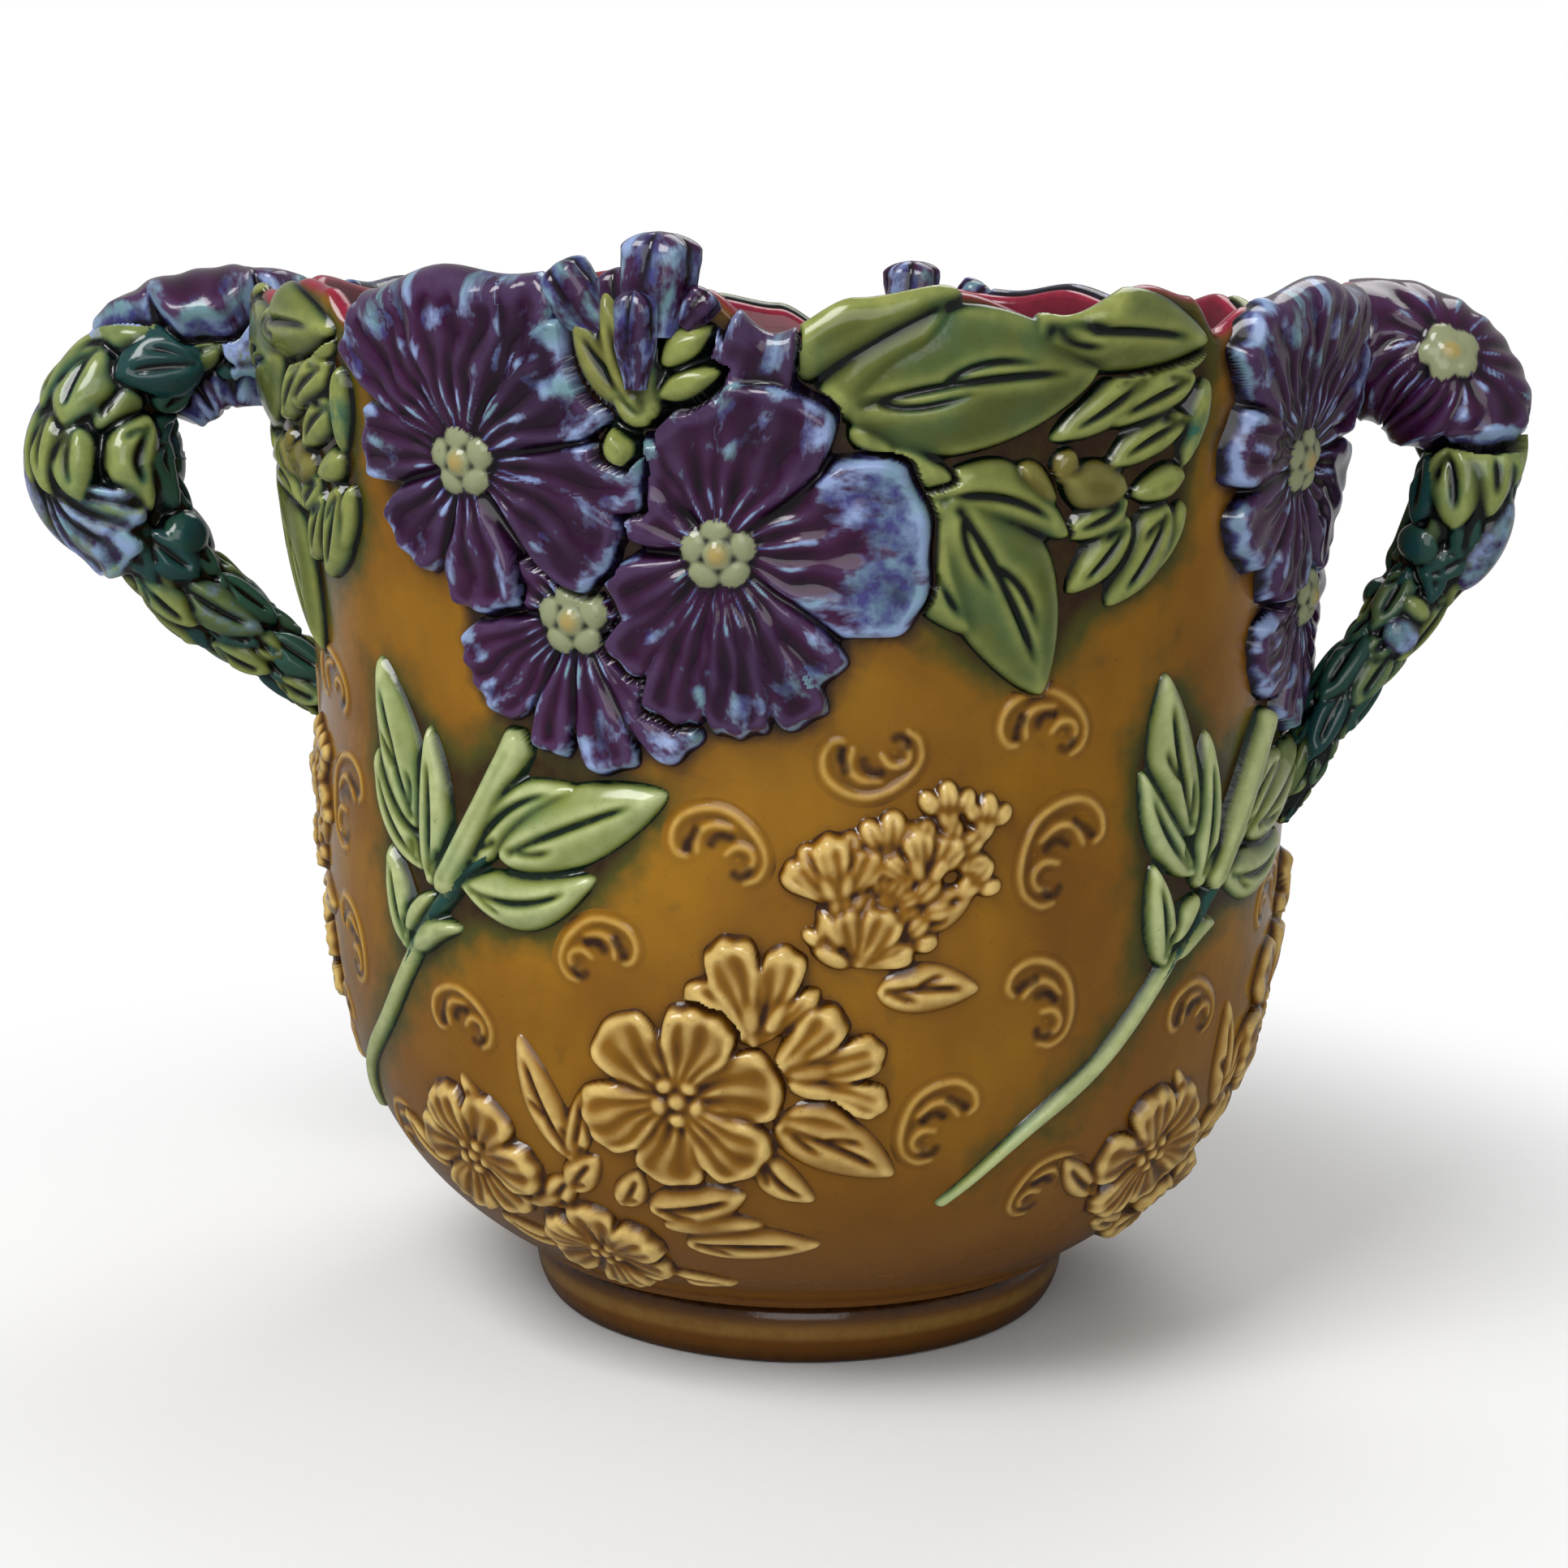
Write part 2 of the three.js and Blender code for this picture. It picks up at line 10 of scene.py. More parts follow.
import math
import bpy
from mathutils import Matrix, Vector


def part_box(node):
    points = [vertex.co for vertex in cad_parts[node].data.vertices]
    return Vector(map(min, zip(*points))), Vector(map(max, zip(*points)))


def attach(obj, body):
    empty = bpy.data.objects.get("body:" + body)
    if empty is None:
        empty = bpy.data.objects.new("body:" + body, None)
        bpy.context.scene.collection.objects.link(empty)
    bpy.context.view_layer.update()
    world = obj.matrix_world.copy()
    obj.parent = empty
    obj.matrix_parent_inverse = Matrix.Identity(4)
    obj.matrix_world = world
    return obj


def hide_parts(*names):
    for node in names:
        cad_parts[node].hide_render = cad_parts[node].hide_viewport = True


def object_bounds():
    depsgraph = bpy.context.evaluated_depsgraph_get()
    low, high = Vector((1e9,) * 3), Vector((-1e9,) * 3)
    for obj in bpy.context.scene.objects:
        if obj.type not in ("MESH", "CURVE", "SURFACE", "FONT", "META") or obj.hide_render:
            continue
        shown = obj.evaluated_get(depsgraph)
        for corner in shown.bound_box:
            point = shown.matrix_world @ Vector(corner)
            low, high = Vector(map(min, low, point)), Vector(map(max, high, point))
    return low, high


bl_info = {
    "name": "Majolica Jardiniere",
    "version": (1, 0, 0),
    "blender": (4, 5, 0),
    "location": "View3D > Sidebar > Jardiniere",
    "description": "Builds a two-handled majolica jardiniere with flowers in relief",
    "category": "Add Mesh",
}

import bpy
import numpy as np
from bpy.props import FloatProperty, FloatVectorProperty, PointerProperty
from mathutils import Matrix, Vector

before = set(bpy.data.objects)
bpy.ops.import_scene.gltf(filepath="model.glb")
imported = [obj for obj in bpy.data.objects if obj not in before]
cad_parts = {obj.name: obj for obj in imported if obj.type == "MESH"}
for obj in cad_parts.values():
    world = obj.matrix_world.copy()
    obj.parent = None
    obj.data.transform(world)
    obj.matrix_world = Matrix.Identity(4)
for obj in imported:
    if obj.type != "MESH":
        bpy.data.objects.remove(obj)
cad_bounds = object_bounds()

MILLIMETRE = 0.001
foot_low, foot_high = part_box("foot_ring")
axis = (foot_low + foot_high) / 2  # the pot's axis, between the two unlike handles
axis.z = 0.0

# ---------------------------------------------------------------- the pot's sizes, in mm
FOOT_RADIUS = 65.0
FOOT_HEIGHT = 16.0
FOOT_WALL = 9.0
# The foot's turned side: how far it stands out from its radius, and the height
FOOT_SIDE = [
    (-4, 0), (-1.6, 0.2), (-0.4, 1.0), (0.6, 2.6), (1.6, 5.2), (2.2, 8.4), (2.4, 11), (1.9, 13),
    (0.9, 14.6), (-0.6, 15.6), (-2.4, 16),
]
BODY_BASE = FOOT_HEIGHT + 0.3
LIP_RADIUS = FOOT_RADIUS + 8.0
LIP_LEVEL = BODY_BASE + 2.2
BELLY_RADIUS = 119.0
UNDER_ROUND = 27.5
FLARE_START = 150.0
FLARE_POWER = 1.25
RIM_RADIUS = 131.5
RIM_HEIGHT = 250.0
WALL_THICKNESS = 5.5
FLOOR_LEVEL = BODY_BASE + 6.0
RIM_CROWN = 1.0  # how far the rounded edge rises over the wavy line
# The rim's wavy line over one quarter: angle, and how far it lies under its highest point.
RIM_WAVES = [
    (-41, 11), (-36, 6), (-26, 1), (-19, 3), (-7, 0), (-1, 4), (5, 14),
    (12, 7), (21, 4), (31, 10), (40, 2), (45, 4),
]
# Each handle's path: how far it stands out from the wall at that height, how far under the
# rim's highest point, its half thickness, and how many degrees it leans to the front.
HANDLE_PATHS = {
    "right": [
        (-9, 15, 12, 0), (6, 14, 14.5, 0), (20, 19, 15, 1), (30, 33, 14.5, 1), (32, 50, 13, 2),
        (27, 67, 10.5, 1), (18, 83, 9, 3), (9, 99, 8, 6), (3, 114, 6.5, 8), (-3, 126, 4.5, 8),
    ],
    "left": [
        (-9, 15, 12, 0), (8, 14, 14.5, 0), (25, 16, 16, 1), (43, 27, 18, 2), (52, 46, 20, 3),
        (44, 65, 15, 2), (31, 83, 12, 0), (19, 94, 10.5, -2), (8, 103, 9, -3), (-4, 111, 7, -3),
    ],
}
HANDLE_ANGLES = {"right": 90, "left": -90}

# ---------------------------------------------------------------- how the relief is laid
GRID_STEP = 0.42  # fine enough for a vein, which is about 1 mm wide
SUNK = -4.0  # nothing lies here
UNDERSIDE = -1.2  # an ornament's underside, inside the clay that carries it
EDGE_FALL = 1.6  # how steeply an ornament's edge drops outside its outline
SOFT_FALL = 1.0  # the same for the low relief, whose edges run out into the ground
OVERLAP = 2  # grid steps that a lower piece runs on under an upper one
RIM_WRAP = 5.0  # how far an ornament folds over the rim
FOLD_SPREAD = 1.3  # mm over which glaze levels out between a hollow and a ridge
TUCKED = 0.5  # how far a lower piece stays under the one that lies over it
FAR = 99.0  # further than any ornament reaches
MARKS = 6  # the values that a shape gives for its glaze, beside its height
POT_COLUMNS = 780
WALL_ROWS, RIM_ROWS, INSIDE_ROWS = 210, 12, 70
FOOT_COLUMNS = 360
BUD_ROWS, BUD_COLUMNS = 60, 96

QUARTERS = {"front": 0, "right": 90, "back": 180, "left": 270}


# ---------------------------------------------------------------- shapes of the carriers
def wall_radius(height):
    height = np.asarray(height, float)
    under = (BELLY_RADIUS - LIP_RADIUS) * np.exp(-(height - LIP_LEVEL) / UNDER_ROUND)
    share = np.clip((height - FLARE_START) / (RIM_HEIGHT - FLARE_START), 0, None)
    return BELLY_RADIUS - under + (RIM_RADIUS - BELLY_RADIUS) * share**FLARE_POWER


def wall_slope(height):
    return wall_radius(height + 0.5) - wall_radius(height - 0.5)


def smoothstep(low, high, value):
    share = np.clip((value - low) / (high - low), 0, 1)
    return share * share * (3 - 2 * share)


def rim_edge(angle):
    first, drop = RIM_WAVES[0]
    angles, drops = np.array(RIM_WAVES + [(first + 90, drop)], float).T
    wave = (np.asarray(angle, float) - first) % 90 + first
    after = np.clip(np.searchsorted(angles, wave, side="right"), 1, len(angles) - 1)
    share = smoothstep(angles[after - 1], angles[after], wave)
    return RIM_HEIGHT - (drops[after - 1] + (drops[after] - drops[after - 1]) * share)


def around(angle, radius, height):
    turn = np.radians(angle)
    return np.stack(np.broadcast_arrays(radius * np.sin(turn), -radius * np.cos(turn), height), -1)


def on_wall(angle, level, lift):
    """A point over the wall. Past the rim's line the way runs over the rounded edge."""
    half = WALL_THICKNESS / 2
    straight_end = rim_edge(angle) + RIM_CROWN - half
    past = np.clip(level - straight_end, 0, None)
    height = np.minimum(level, straight_end)
    tilt = wall_slope(height)
    lean = np.hypot(1, tilt)
    middle_radius = wall_radius(height) - half / lean
    middle_height = height + half * tilt / lean
    bend = -np.arctan(tilt) + np.clip(past / half, 0, math.pi)
    reach = half + lift
    down = np.clip(past - math.pi * half, 0, None)
    radius = middle_radius + reach * np.cos(bend)
    return around(angle, radius, middle_height + reach * np.sin(bend) - down)


def spline(points, per_span):
    """A centripetal Catmull-Rom curve through rows of numbers; its knots and its points."""
    points = np.asarray(points, float)
    ends = [2 * points[0] - points[1], 2 * points[-1] - points[-2]]
    rows = np.vstack([ends[0], points, ends[1]])
    place = np.linspace(0, len(points) - 1, (len(points) - 1) * per_span + 1)
    span = np.minimum(place.astype(int), len(points) - 2)
    share = (place - span)[:, None]
    p0, p1, p2, p3 = (rows[span + i] for i in range(4))
    gap = lambda a, b: np.sqrt(np.linalg.norm(b - a, axis=1))[:, None] + 1e-6
    d0, d1, d2 = gap(p0, p1), gap(p1, p2), gap(p2, p3)
    m1 = ((p1 - p0) / d0 - (p2 - p0) / (d0 + d1) + (p2 - p1) / d1) * d1
    m2 = ((p2 - p1) / d1 - (p3 - p1) / (d1 + d2) + (p3 - p2) / d2) * d1
    cube = (2 * p1 - 2 * p2 + m1 + m2) * share**3
    square = (-3 * p1 + 3 * p2 - 2 * m1 - m2) * share**2
    return place, cube + square + m1 * share + p1


def evenly(path, step):
    """The same path as points that lie about a step apart."""
    gone = np.concatenate([[0], np.cumsum(np.linalg.norm(np.diff(path, axis=0), axis=1))])
    at = np.linspace(0, gone[-1], max(int(gone[-1] / step), 2) + 1)
    return np.stack([np.interp(at, gone, column) for column in path.T], -1)


def blurred(values, reach):
    """Evens values out over `reach` grid steps; the columns run on round the carrier."""
    for _ in range(3):
        for direction in (0, 1):
            pad = [(0, 0), (0, 0)]
            pad[direction] = (reach + 1, reach)
            mode = "wrap" if direction else "edge"
            sums = np.cumsum(np.pad(values, pad, mode=mode), axis=direction)
            width = 2 * reach + 1
            if direction:
                values = (sums[:, width:] - sums[:, :-width]) / width
            else:
                values = (sums[width:] - sums[:-width]) / width
    return values


def softened(lift):
    """Rounds the steps that the grid leaves in a steep edge."""
    lift = np.maximum(lift, -2.5)
    lift = (np.roll(lift, 1, 1) + 2 * lift + np.roll(lift, -1, 1)) / 4
    padded = np.pad(lift, ((1, 1), (0, 0)), mode="edge")
    return (padded[:-2] + 2 * lift + padded[2:]) / 4


class Carrier:
    """A grid round the wall or a handle, and the height of everything that lies on it."""

    def __init__(self, turns, levels, radius, place):
        self.turns, self.levels, self.radius, self.place = turns, levels, radius, place
        self.shape = (len(levels), len(turns))
        self.over = np.full(self.shape, SUNK, np.float32)
        self.limit = np.full(self.shape, FAR, np.float32)
        self.arc = np.asarray(levels, float)
        self.pieces = {}
        self.cover = {}

    def span(self, start, end):
        """The way from one place to another, in mm across and along."""
        arcs = np.interp([start[1], end[1]], self.levels, self.arc)
        middle = np.interp(sum(arcs) / 2, self.arc, self.radius)
        turn = (end[0] - start[0] + 180) % 360 - 180
        return math.radians(turn) * middle, arcs[1] - arcs[0]

    def local(self, place, reach):
        here = np.interp(place[1], self.levels, self.arc)
        rows = np.where(np.abs(self.arc - here) < reach)[0]
        turns = (self.turns - place[0] + 180) % 360 - 180
        columns = np.where(np.abs(turns) < math.degrees(reach / self.radius[rows].min()))[0]
        x = np.radians(turns[columns])[None, :] * self.radius[rows][:, None]
        y = np.broadcast_to((self.arc[rows] - here)[:, None], x.shape)
        return np.ix_(rows, columns), x, y

    def lay(self, name, lobes):
        """Joins the lobes into one piece, cut back under the pieces that lie over it."""
        lift = np.full(self.shape, SUNK, np.float32)
        marks = np.zeros(self.shape + (MARKS,), np.float32)
        for place, reach, shape in lobes:
            where, x, y = self.local(place, reach)
            height, values = shape(x, y)
            higher = height > lift[where]
            lift[where] = np.where(higher, height, lift[where])
            values = np.stack([np.broadcast_to(value, x.shape) for value in values], -1)
            marks[where] = np.where(higher[..., None], values, marks[where])
        lift = np.minimum(softened(softened(lift)), self.limit)
        covered = self.over > UNDERSIDE / 2
        lift = np.where(covered, np.minimum(lift, self.over - TUCKED), lift)
        near = ~covered
        for _ in range(OVERLAP):
            near = near | np.roll(near, 1, 1) | np.roll(near, -1, 1)
            near[1:] |= near[:-1].copy()
            near[:-1] |= near[1:].copy()
        keep = (lift > UNDERSIDE / 2) & near
        self.over = np.maximum(self.over, np.where(keep | ~covered, lift, SUNK))
        self.cover[name] = keep & (lift > 0)
        rows = np.where(keep.any(1))[0]
        if not len(rows):
            raise RuntimeError(f"nothing of {name} shows")
        # the piece's own columns, starting after its widest gap
        columns = np.where(keep.any(0))[0]
        gaps = np.diff(np.append(columns, columns[0] + len(self.turns)))
        first = columns[(int(np.argmax(gaps)) + 1) % len(columns)]
        count = len(self.turns) - int(gaps.max()) + 1
        columns = (first - 2 + np.arange(count + 4)) % len(self.turns)
        rows = np.arange(max(rows[0] - 2, 0), min(rows[-1] + 3, len(self.levels)))
        box = np.ix_(rows, columns)
        self.pieces[name] = (rows, columns, lift[box], keep[box], marks[box])

    def near(self, names, reach):
        """How much of the neighbourhood the pieces of these names cover, from 0 to 1."""
        cover = np.zeros(self.shape)
        for name, mask in self.cover.items():
            if name.startswith(names):
                cover = np.maximum(cover, mask)
        return blurred(cover, round(reach / GRID_STEP))

    def settle(self):
        """Where glaze runs thin over ridges and gathers in hollows, over all the pieces."""
        top = np.maximum(self.over, 0)
        hollow = blurred(top, max(1, round(FOLD_SPREAD / GRID_STEP))) - top
        wide = blurred(top, round(4 * FOLD_SPREAD / GRID_STEP)) - top
        self.hollow = hollow + 0.25 * wide
        self.ridge = np.clip(-hollow / 0.45, 0, 1)
        self.pool = np.clip((hollow - 0.03) / 0.4, 0, 1)


# ---------------------------------------------------------------- the ornaments' shapes
# Each shape gives the lift, then the marks that its glaze follows: second colour, third
# colour, extra pooling, and the brush's way across and along with a number of its own.
def shoulder(margin, width):
    return np.sin(math.pi / 2 * np.clip(margin / width, 0, 1)) ** 0.85


def from_outline(layer, margin, height, fall):
    return np.where(margin > 0, layer + height, layer + fall * margin)


def petal(
    core, direction, reach, spread, layer=0.0, wash=0.4, ribs=3, rise=3.2, fold=1.0,
    fall=EDGE_FALL, least=0.0, scallop=0.022, taper=0.07,
):
    toward, half_angle = math.radians(direction), math.radians(spread)
    seed = direction * 0.37 + reach
    phase = 0.5 if ribs % 2 == 0 else 0.0

    def shape(x, y):
        radius = np.hypot(x, y)
        phi = (np.arctan2(y, x) - toward + math.pi) % (2 * math.pi) - math.pi
        delta = phi / half_angle
        sway = delta + 0.10 * np.sin(radius / 5.1 + seed)
        sway = sway + 0.05 * np.sin(radius / 2.3 + 2 * seed + 3 * delta)
        lumps = np.sin(x / 2.9 + seed + 0.6 * np.sin(y / 3.7))
        lumps = lumps * np.sin(y / 2.5 + 2 * seed + 0.7 * np.sin(x / 4.1))
        ridge = 0.5 + 0.5 * np.cos(2 * math.pi * (sway * ribs / 2 + phase))
        away = np.abs(delta)
        edge = 1 - taper * away**2.4 - 0.22 * smoothstep(0.6, 1.1, away)
        edge = reach * (edge + scallop * (ridge - 0.5))
        tip, side = edge - radius, (1 - away) * half_angle * radius + 0.5
        margin = np.minimum(tip, side) - 0.35 * np.exp(-np.abs(tip - side) / 1.5)
        share = radius / reach
        grow = 0.3 + 0.7 * smoothstep(0.08, 0.7, share)
        height = rise * shoulder(margin, 2.4) * grow
        folds = fold * (0.7 * ridge - 0.4 + 0.42 * lumps)
        folds = folds * smoothstep(0.14, 0.4, share) * np.clip(margin / 1.5, 0, 1)
        # near the core each rib starts as a narrow bead, and the edge is turned up
        sharp = ridge**6 * smoothstep(0.13, 0.2, share) * (1 - smoothstep(0.32, 0.5, share))
        lip = 0.5 * np.exp(-(((margin - 1.2) / 0.8) ** 2)) * smoothstep(0.4, 0.7, share)
        height = height + folds + fold * (0.7 * sharp + lip)
        edge_band = np.exp(-((np.clip(margin, 0, None) / 1.2) ** 2)) * smoothstep(0.4, 0.7, share)
        pale = 0.8 * wash * smoothstep(0.3, 1.0, share) + 0.6 * edge_band + 0.9 * sharp
        pale = pale + (0.16 * ridge**3 + 0.3 * lumps) * smoothstep(0.2, 0.5, share)
        pale = np.clip(pale, least, 1)
        return from_outline(layer, margin, height, fall), (pale, 0, 0, phi * radius, radius, seed)

    return core, reach * 1.15 + 2, shape


def bead(
    place, wide, long, turn=0.0, layer=0.0, rise=2.0, second=0.0, third=0.0, slit=0.0,
    fall=EDGE_FALL,
):
    angle = math.radians(turn)

    def shape(x, y):
        across = x * math.cos(angle) + y * math.sin(angle)
        along = -x * math.sin(angle) + y * math.cos(angle)
        far = np.hypot(across / wide, along / long)
        margin = (1 - far) * min(wide, long)
        dome = np.sqrt(np.clip(1 - far**2, 0, 1))
        height = rise * dome
        height = height - slit * np.exp(-((across / 0.45) ** 2)) * (np.abs(along) < 0.7 * long)
        coloured = third * (0.45 + 0.55 * dome**2) if third > 0.5 else third
        return from_outline(layer, margin, height, fall), (second, coloured, 0, across, along, wide)

    return place, max(wide, long) * 1.2 + 2, shape


def leaf(
    carrier, start, end, half, bend=0.0, layer=0.0, rise=2.6, veins=2, second=0.0, third=0.0,
    rod=False, lift_tip=0.0, fall=EDGE_FALL,
):
    dx, dy = carrier.span(start, end)
    length = math.hypot(dx, dy)
    ux, uy = dx / length, dy / length

    def shape(x, y):
        along = x * ux + y * uy
        across = -x * uy + y * ux
        share = np.clip(along / length, 0, 1)
        across = across - bend * np.sin(math.pi * share)
        if rod:
            ends = np.clip(np.minimum(along, length - along) / half, 0, 1)
            width = half * np.sqrt(1 - (1 - ends) ** 2)
        else:
            width = half * np.clip(np.sin(math.pi * share**0.8), 0, 1) ** 0.7
        beyond = np.maximum(np.maximum(-along, along - length), 0)
        margin = (width - np.abs(across)) * 0.9 - beyond
        height = rise * shoulder(margin, max(0.7 * half, 1.2)) + lift_tip * share
        if veins:
            main = smoothstep(0.03, 0.1, share) * (1 - smoothstep(0.7, 0.9, share))
            groove = 1.5 * np.exp(-((across / (1.05 - 0.4 * share)) ** 2)) * main
            for k in range(veins):
                start_at = length * (0.12 + 0.5 * k / veins)
                side = 1 if k % 2 else -1
                out = side * across
                run = (along - start_at) * 0.8 + out * 0.6
                off = -(along - start_at) * 0.6 + out * 0.8
                fade = 1 - smoothstep(0.5, 0.85, run / (0.95 * half / 0.6))
                fade = fade * smoothstep(0.0, 1.0, run)
                off = off + 0.035 * run**2
                groove = np.maximum(groove, 1.4 * np.exp(-((off / 0.9) ** 2)) * fade * (out > -0.3))
            height = height - groove
        return from_outline(layer, margin, height, fall), (second, third, 0, across, along, half)

    return start, length + half + 3, shape


def line(place, points, half, rise, swell=0.0, pits=(), second=0.0):
    """A raised line through points in mm about a place, thinner at its ends. With a swell it
    rises gently out of the ground first, with dark strokes beside it."""
    paths = [evenly(spline(np.array(path, float), 10)[1], 0.4) for path in points]
    pits = [evenly(spline(np.array(path, float), 6)[1], 0.5) for path in pits]
    reach = max(np.abs(path).max() for path in paths) + 5

    def shape(x, y):
        lift = np.full(x.shape, SUNK)
        near = np.full(x.shape, FAR)
        for path in paths:
            ends = np.minimum(np.arange(len(path)), np.arange(len(path))[::-1]) / (len(path) / 2)
            width = half * (0.55 + 0.45 * np.clip(ends * 1.6, 0, 1))
            gap = np.hypot(x[..., None] - path[:, 0], y[..., None] - path[:, 1])
            closest = (gap / width).argmin(-1)
            far = np.take_along_axis(gap, closest[..., None], -1)[..., 0]
            if swell:
                lift = np.maximum(lift, rise * np.exp(-((far / width[closest]) ** 2)))
            else:
                # without a swell the line has an edge of its own
                margin = width[closest] - far
                own = from_outline(0.0, margin, rise * shoulder(margin, half), EDGE_FALL)
                lift = np.maximum(lift, own)
            near = np.minimum(near, far)
        dark = np.zeros(x.shape)
        for path in pits:
            gap = np.hypot(x[..., None] - path[:, 0], y[..., None] - path[:, 1]).min(-1)
            dark = np.maximum(dark, 0.8 - 0.8 * smoothstep(0.2 * PIT_HALF, 1.6 * PIT_HALF, gap))
            near = np.minimum(near, gap)
        if swell:
            lift = lift + swell * np.exp(-((near / 2.0) ** 2)) - 0.3 * swell
            lift = lift - 0.5 * smoothstep(3.2, 4.5, near)
        return lift, (second, 0, dark, x, y, rise)

    return place, reach, shape


# ---------------------------------------------------------------- the flowers
# Petals: direction (0 to the right, 90 up), reach, half spread, layer, share of blue, ribs
LEFT_PETALS = [
    (62, 43, 16, 0.9, 0.5, 3), (108, 40, 15, 0.8, 0.5, 2), (-5, 41, 14, 0.2, 0.55, 2),
    (-135, 28, 27, 0.6, 0.45, 3), (-32, 38, 22, 0.5, 0.5, 3), (-85, 32, 23, 1.0, 0.45, 3),
    (172, 29, 24, 0.9, 0.6, 3), (130, 41, 22, 1.3, 0.5, 4), (33, 41, 23, 1.1, 1.25, 3),
    (86, 39, 26, 1.8, 0.4, 4),
]
CENTRE_PETALS = [
    (78, 47, 13, 0.1, 0.6, 2), (97, 45, 12, 0.2, 0.5, 2), (155, 22, 22, 0.7, 0.4, 2),
    (130, 27, 17, 0.5, 0.4, 2), (-155, 25, 20, 0.4, 0.4, 2), (-131, 32, 15, 0.7, 0.5, 2),
    (-50, 34, 14, 0.8, 0.5, 2), (-64, 39, 12, 1.1, 0.45, 2),
    (-84, 38, 14, 1.4, 0.4, 3), (-107, 37, 15, 1.0, 0.4, 3), (2, 42, 37, 1.0, 1.7, 4),
    (102, 34, 17, 1.7, 0.35, 2), (67, 36, 27, 2.0, 0.5, 3),
]
LOW_PETALS = [
    (95, 20, 40, 0.0, 0.3, 3), (5, 26, 30, 0.1, 0.4, 3), (150, 24, 24, 0.1, 0.4, 2),
    (-28, 32, 16, 0.3, 0.4, 2), (-50, 36, 14, 0.6, 0.6, 2), (-77, 33, 15, 0.9, 0.6, 2),
    (-104, 30, 13, 1.1, 0.6, 2), (-148, 30, 31, 0.5, 0.6, 5),
]
HANDLE_PETALS = [
    (35, 23, 34, 0.9, 0.4, 3), (90, 20, 30, 0.5, 0.4, 3), (145, 22, 32, 0.8, 0.45, 3),
    (-160, 26, 34, 1.0, 0.4, 3), (-105, 27, 32, 0.4, 0.4, 3), (-50, 26, 34, 0.7, 0.5, 3),
    (-10, 23, 24, 0.3, 0.4, 3),
]
FLOWER_PLACES = {
    "blossom_left": ((-25.2, 213), LEFT_PETALS, 1.2),
    "blossom_centre": ((0, 196), CENTRE_PETALS, 1.1),
    "blossom_low": ((-14.6, 181), LOW_PETALS, 0.2),
}
CORE_BEADS = 5
CORE_RING = 4.7
BEAD_HALF = 3.25


def flower(carrier, place, petals, layer, core=1.0, rise=3.2, fold=1.0):
    lobes = []
    for direction, reach, spread, step, wash, ribs in petals:
        lobes.append(petal(place, direction, reach, spread, layer + step, wash, ribs, rise, fold))
    lobes.append(bead(place, 3.4 * core, 3.6 * core, 0, layer + 1.6, 3.6 * core, third=0.8))
    for k in range(CORE_BEADS):
        angle = math.radians(72 * k + 20)
        ring, half = CORE_RING * core, BEAD_HALF * core
        here = moved(carrier, place, ring * math.cos(angle), ring * math.sin(angle))
        turn = math.degrees(angle)
        lobes.append(bead(here, half, half * 1.15, turn, layer + 1.4, 2.6 * core, third=0.5))
    return lobes


def moved(carrier, place, dx, dy):
    arc = np.interp(place[1], carrier.levels, carrier.arc) + dy
    radius = np.interp(arc, carrier.arc, carrier.radius)
    return place[0] + math.degrees(dx / radius), float(np.interp(arc, carrier.arc, carrier.levels))


# ---------------------------------------------------------------- the leaves
# Each: start, end, half width, bow, layer, veins, second glaze (teal), third (brown stain)
RIM_LEAF = [
    ((3.8, 230.5), (21.5, 247.5), 8.0, 3.5, 0.7, 0, 0, 0),
    ((9.0, 224), (20, 245), 8.0, -2.0, 0.9, 0, 0, 0),
    ((11.0, 225), (34.6, 232.5), 14.0, 2.0, 1.7, 2, 0, 0),
    ((27.5, 239.5), (47.0, 238.5), 8.6, 1.5, 1.0, 1, 0, 0.1),
    ((14.0, 217), (21.5, 210.5), 4.6, -1.0, 0.4, 0, 0, 0),
    ((13.6, 215.5), (18.6, 189), 3.6, -1.0, 0.2, 0, 0.5, 0),
    ((11.5, 221), (16.5, 213.5), 3.4, 0.6, 0.3, 0, 0, 0.1),
]
HANGING_LEAF = [
    ((17.8, 206), (33.4, 199), 7.4, 4.8, 0.8, 1, 0, 0),
    ((20.8, 208), (31.6, 166), 12.0, 1.8, 1.3, 2, 0, 0),
    ((17.6, 207), (24.0, 178.5), 8.0, -2.0, 0.6, 1, 0, 0),
    ((27.5, 214), (31.8, 206), 3.6, -0.6, 0.3, 0, 0, 0.3),
]
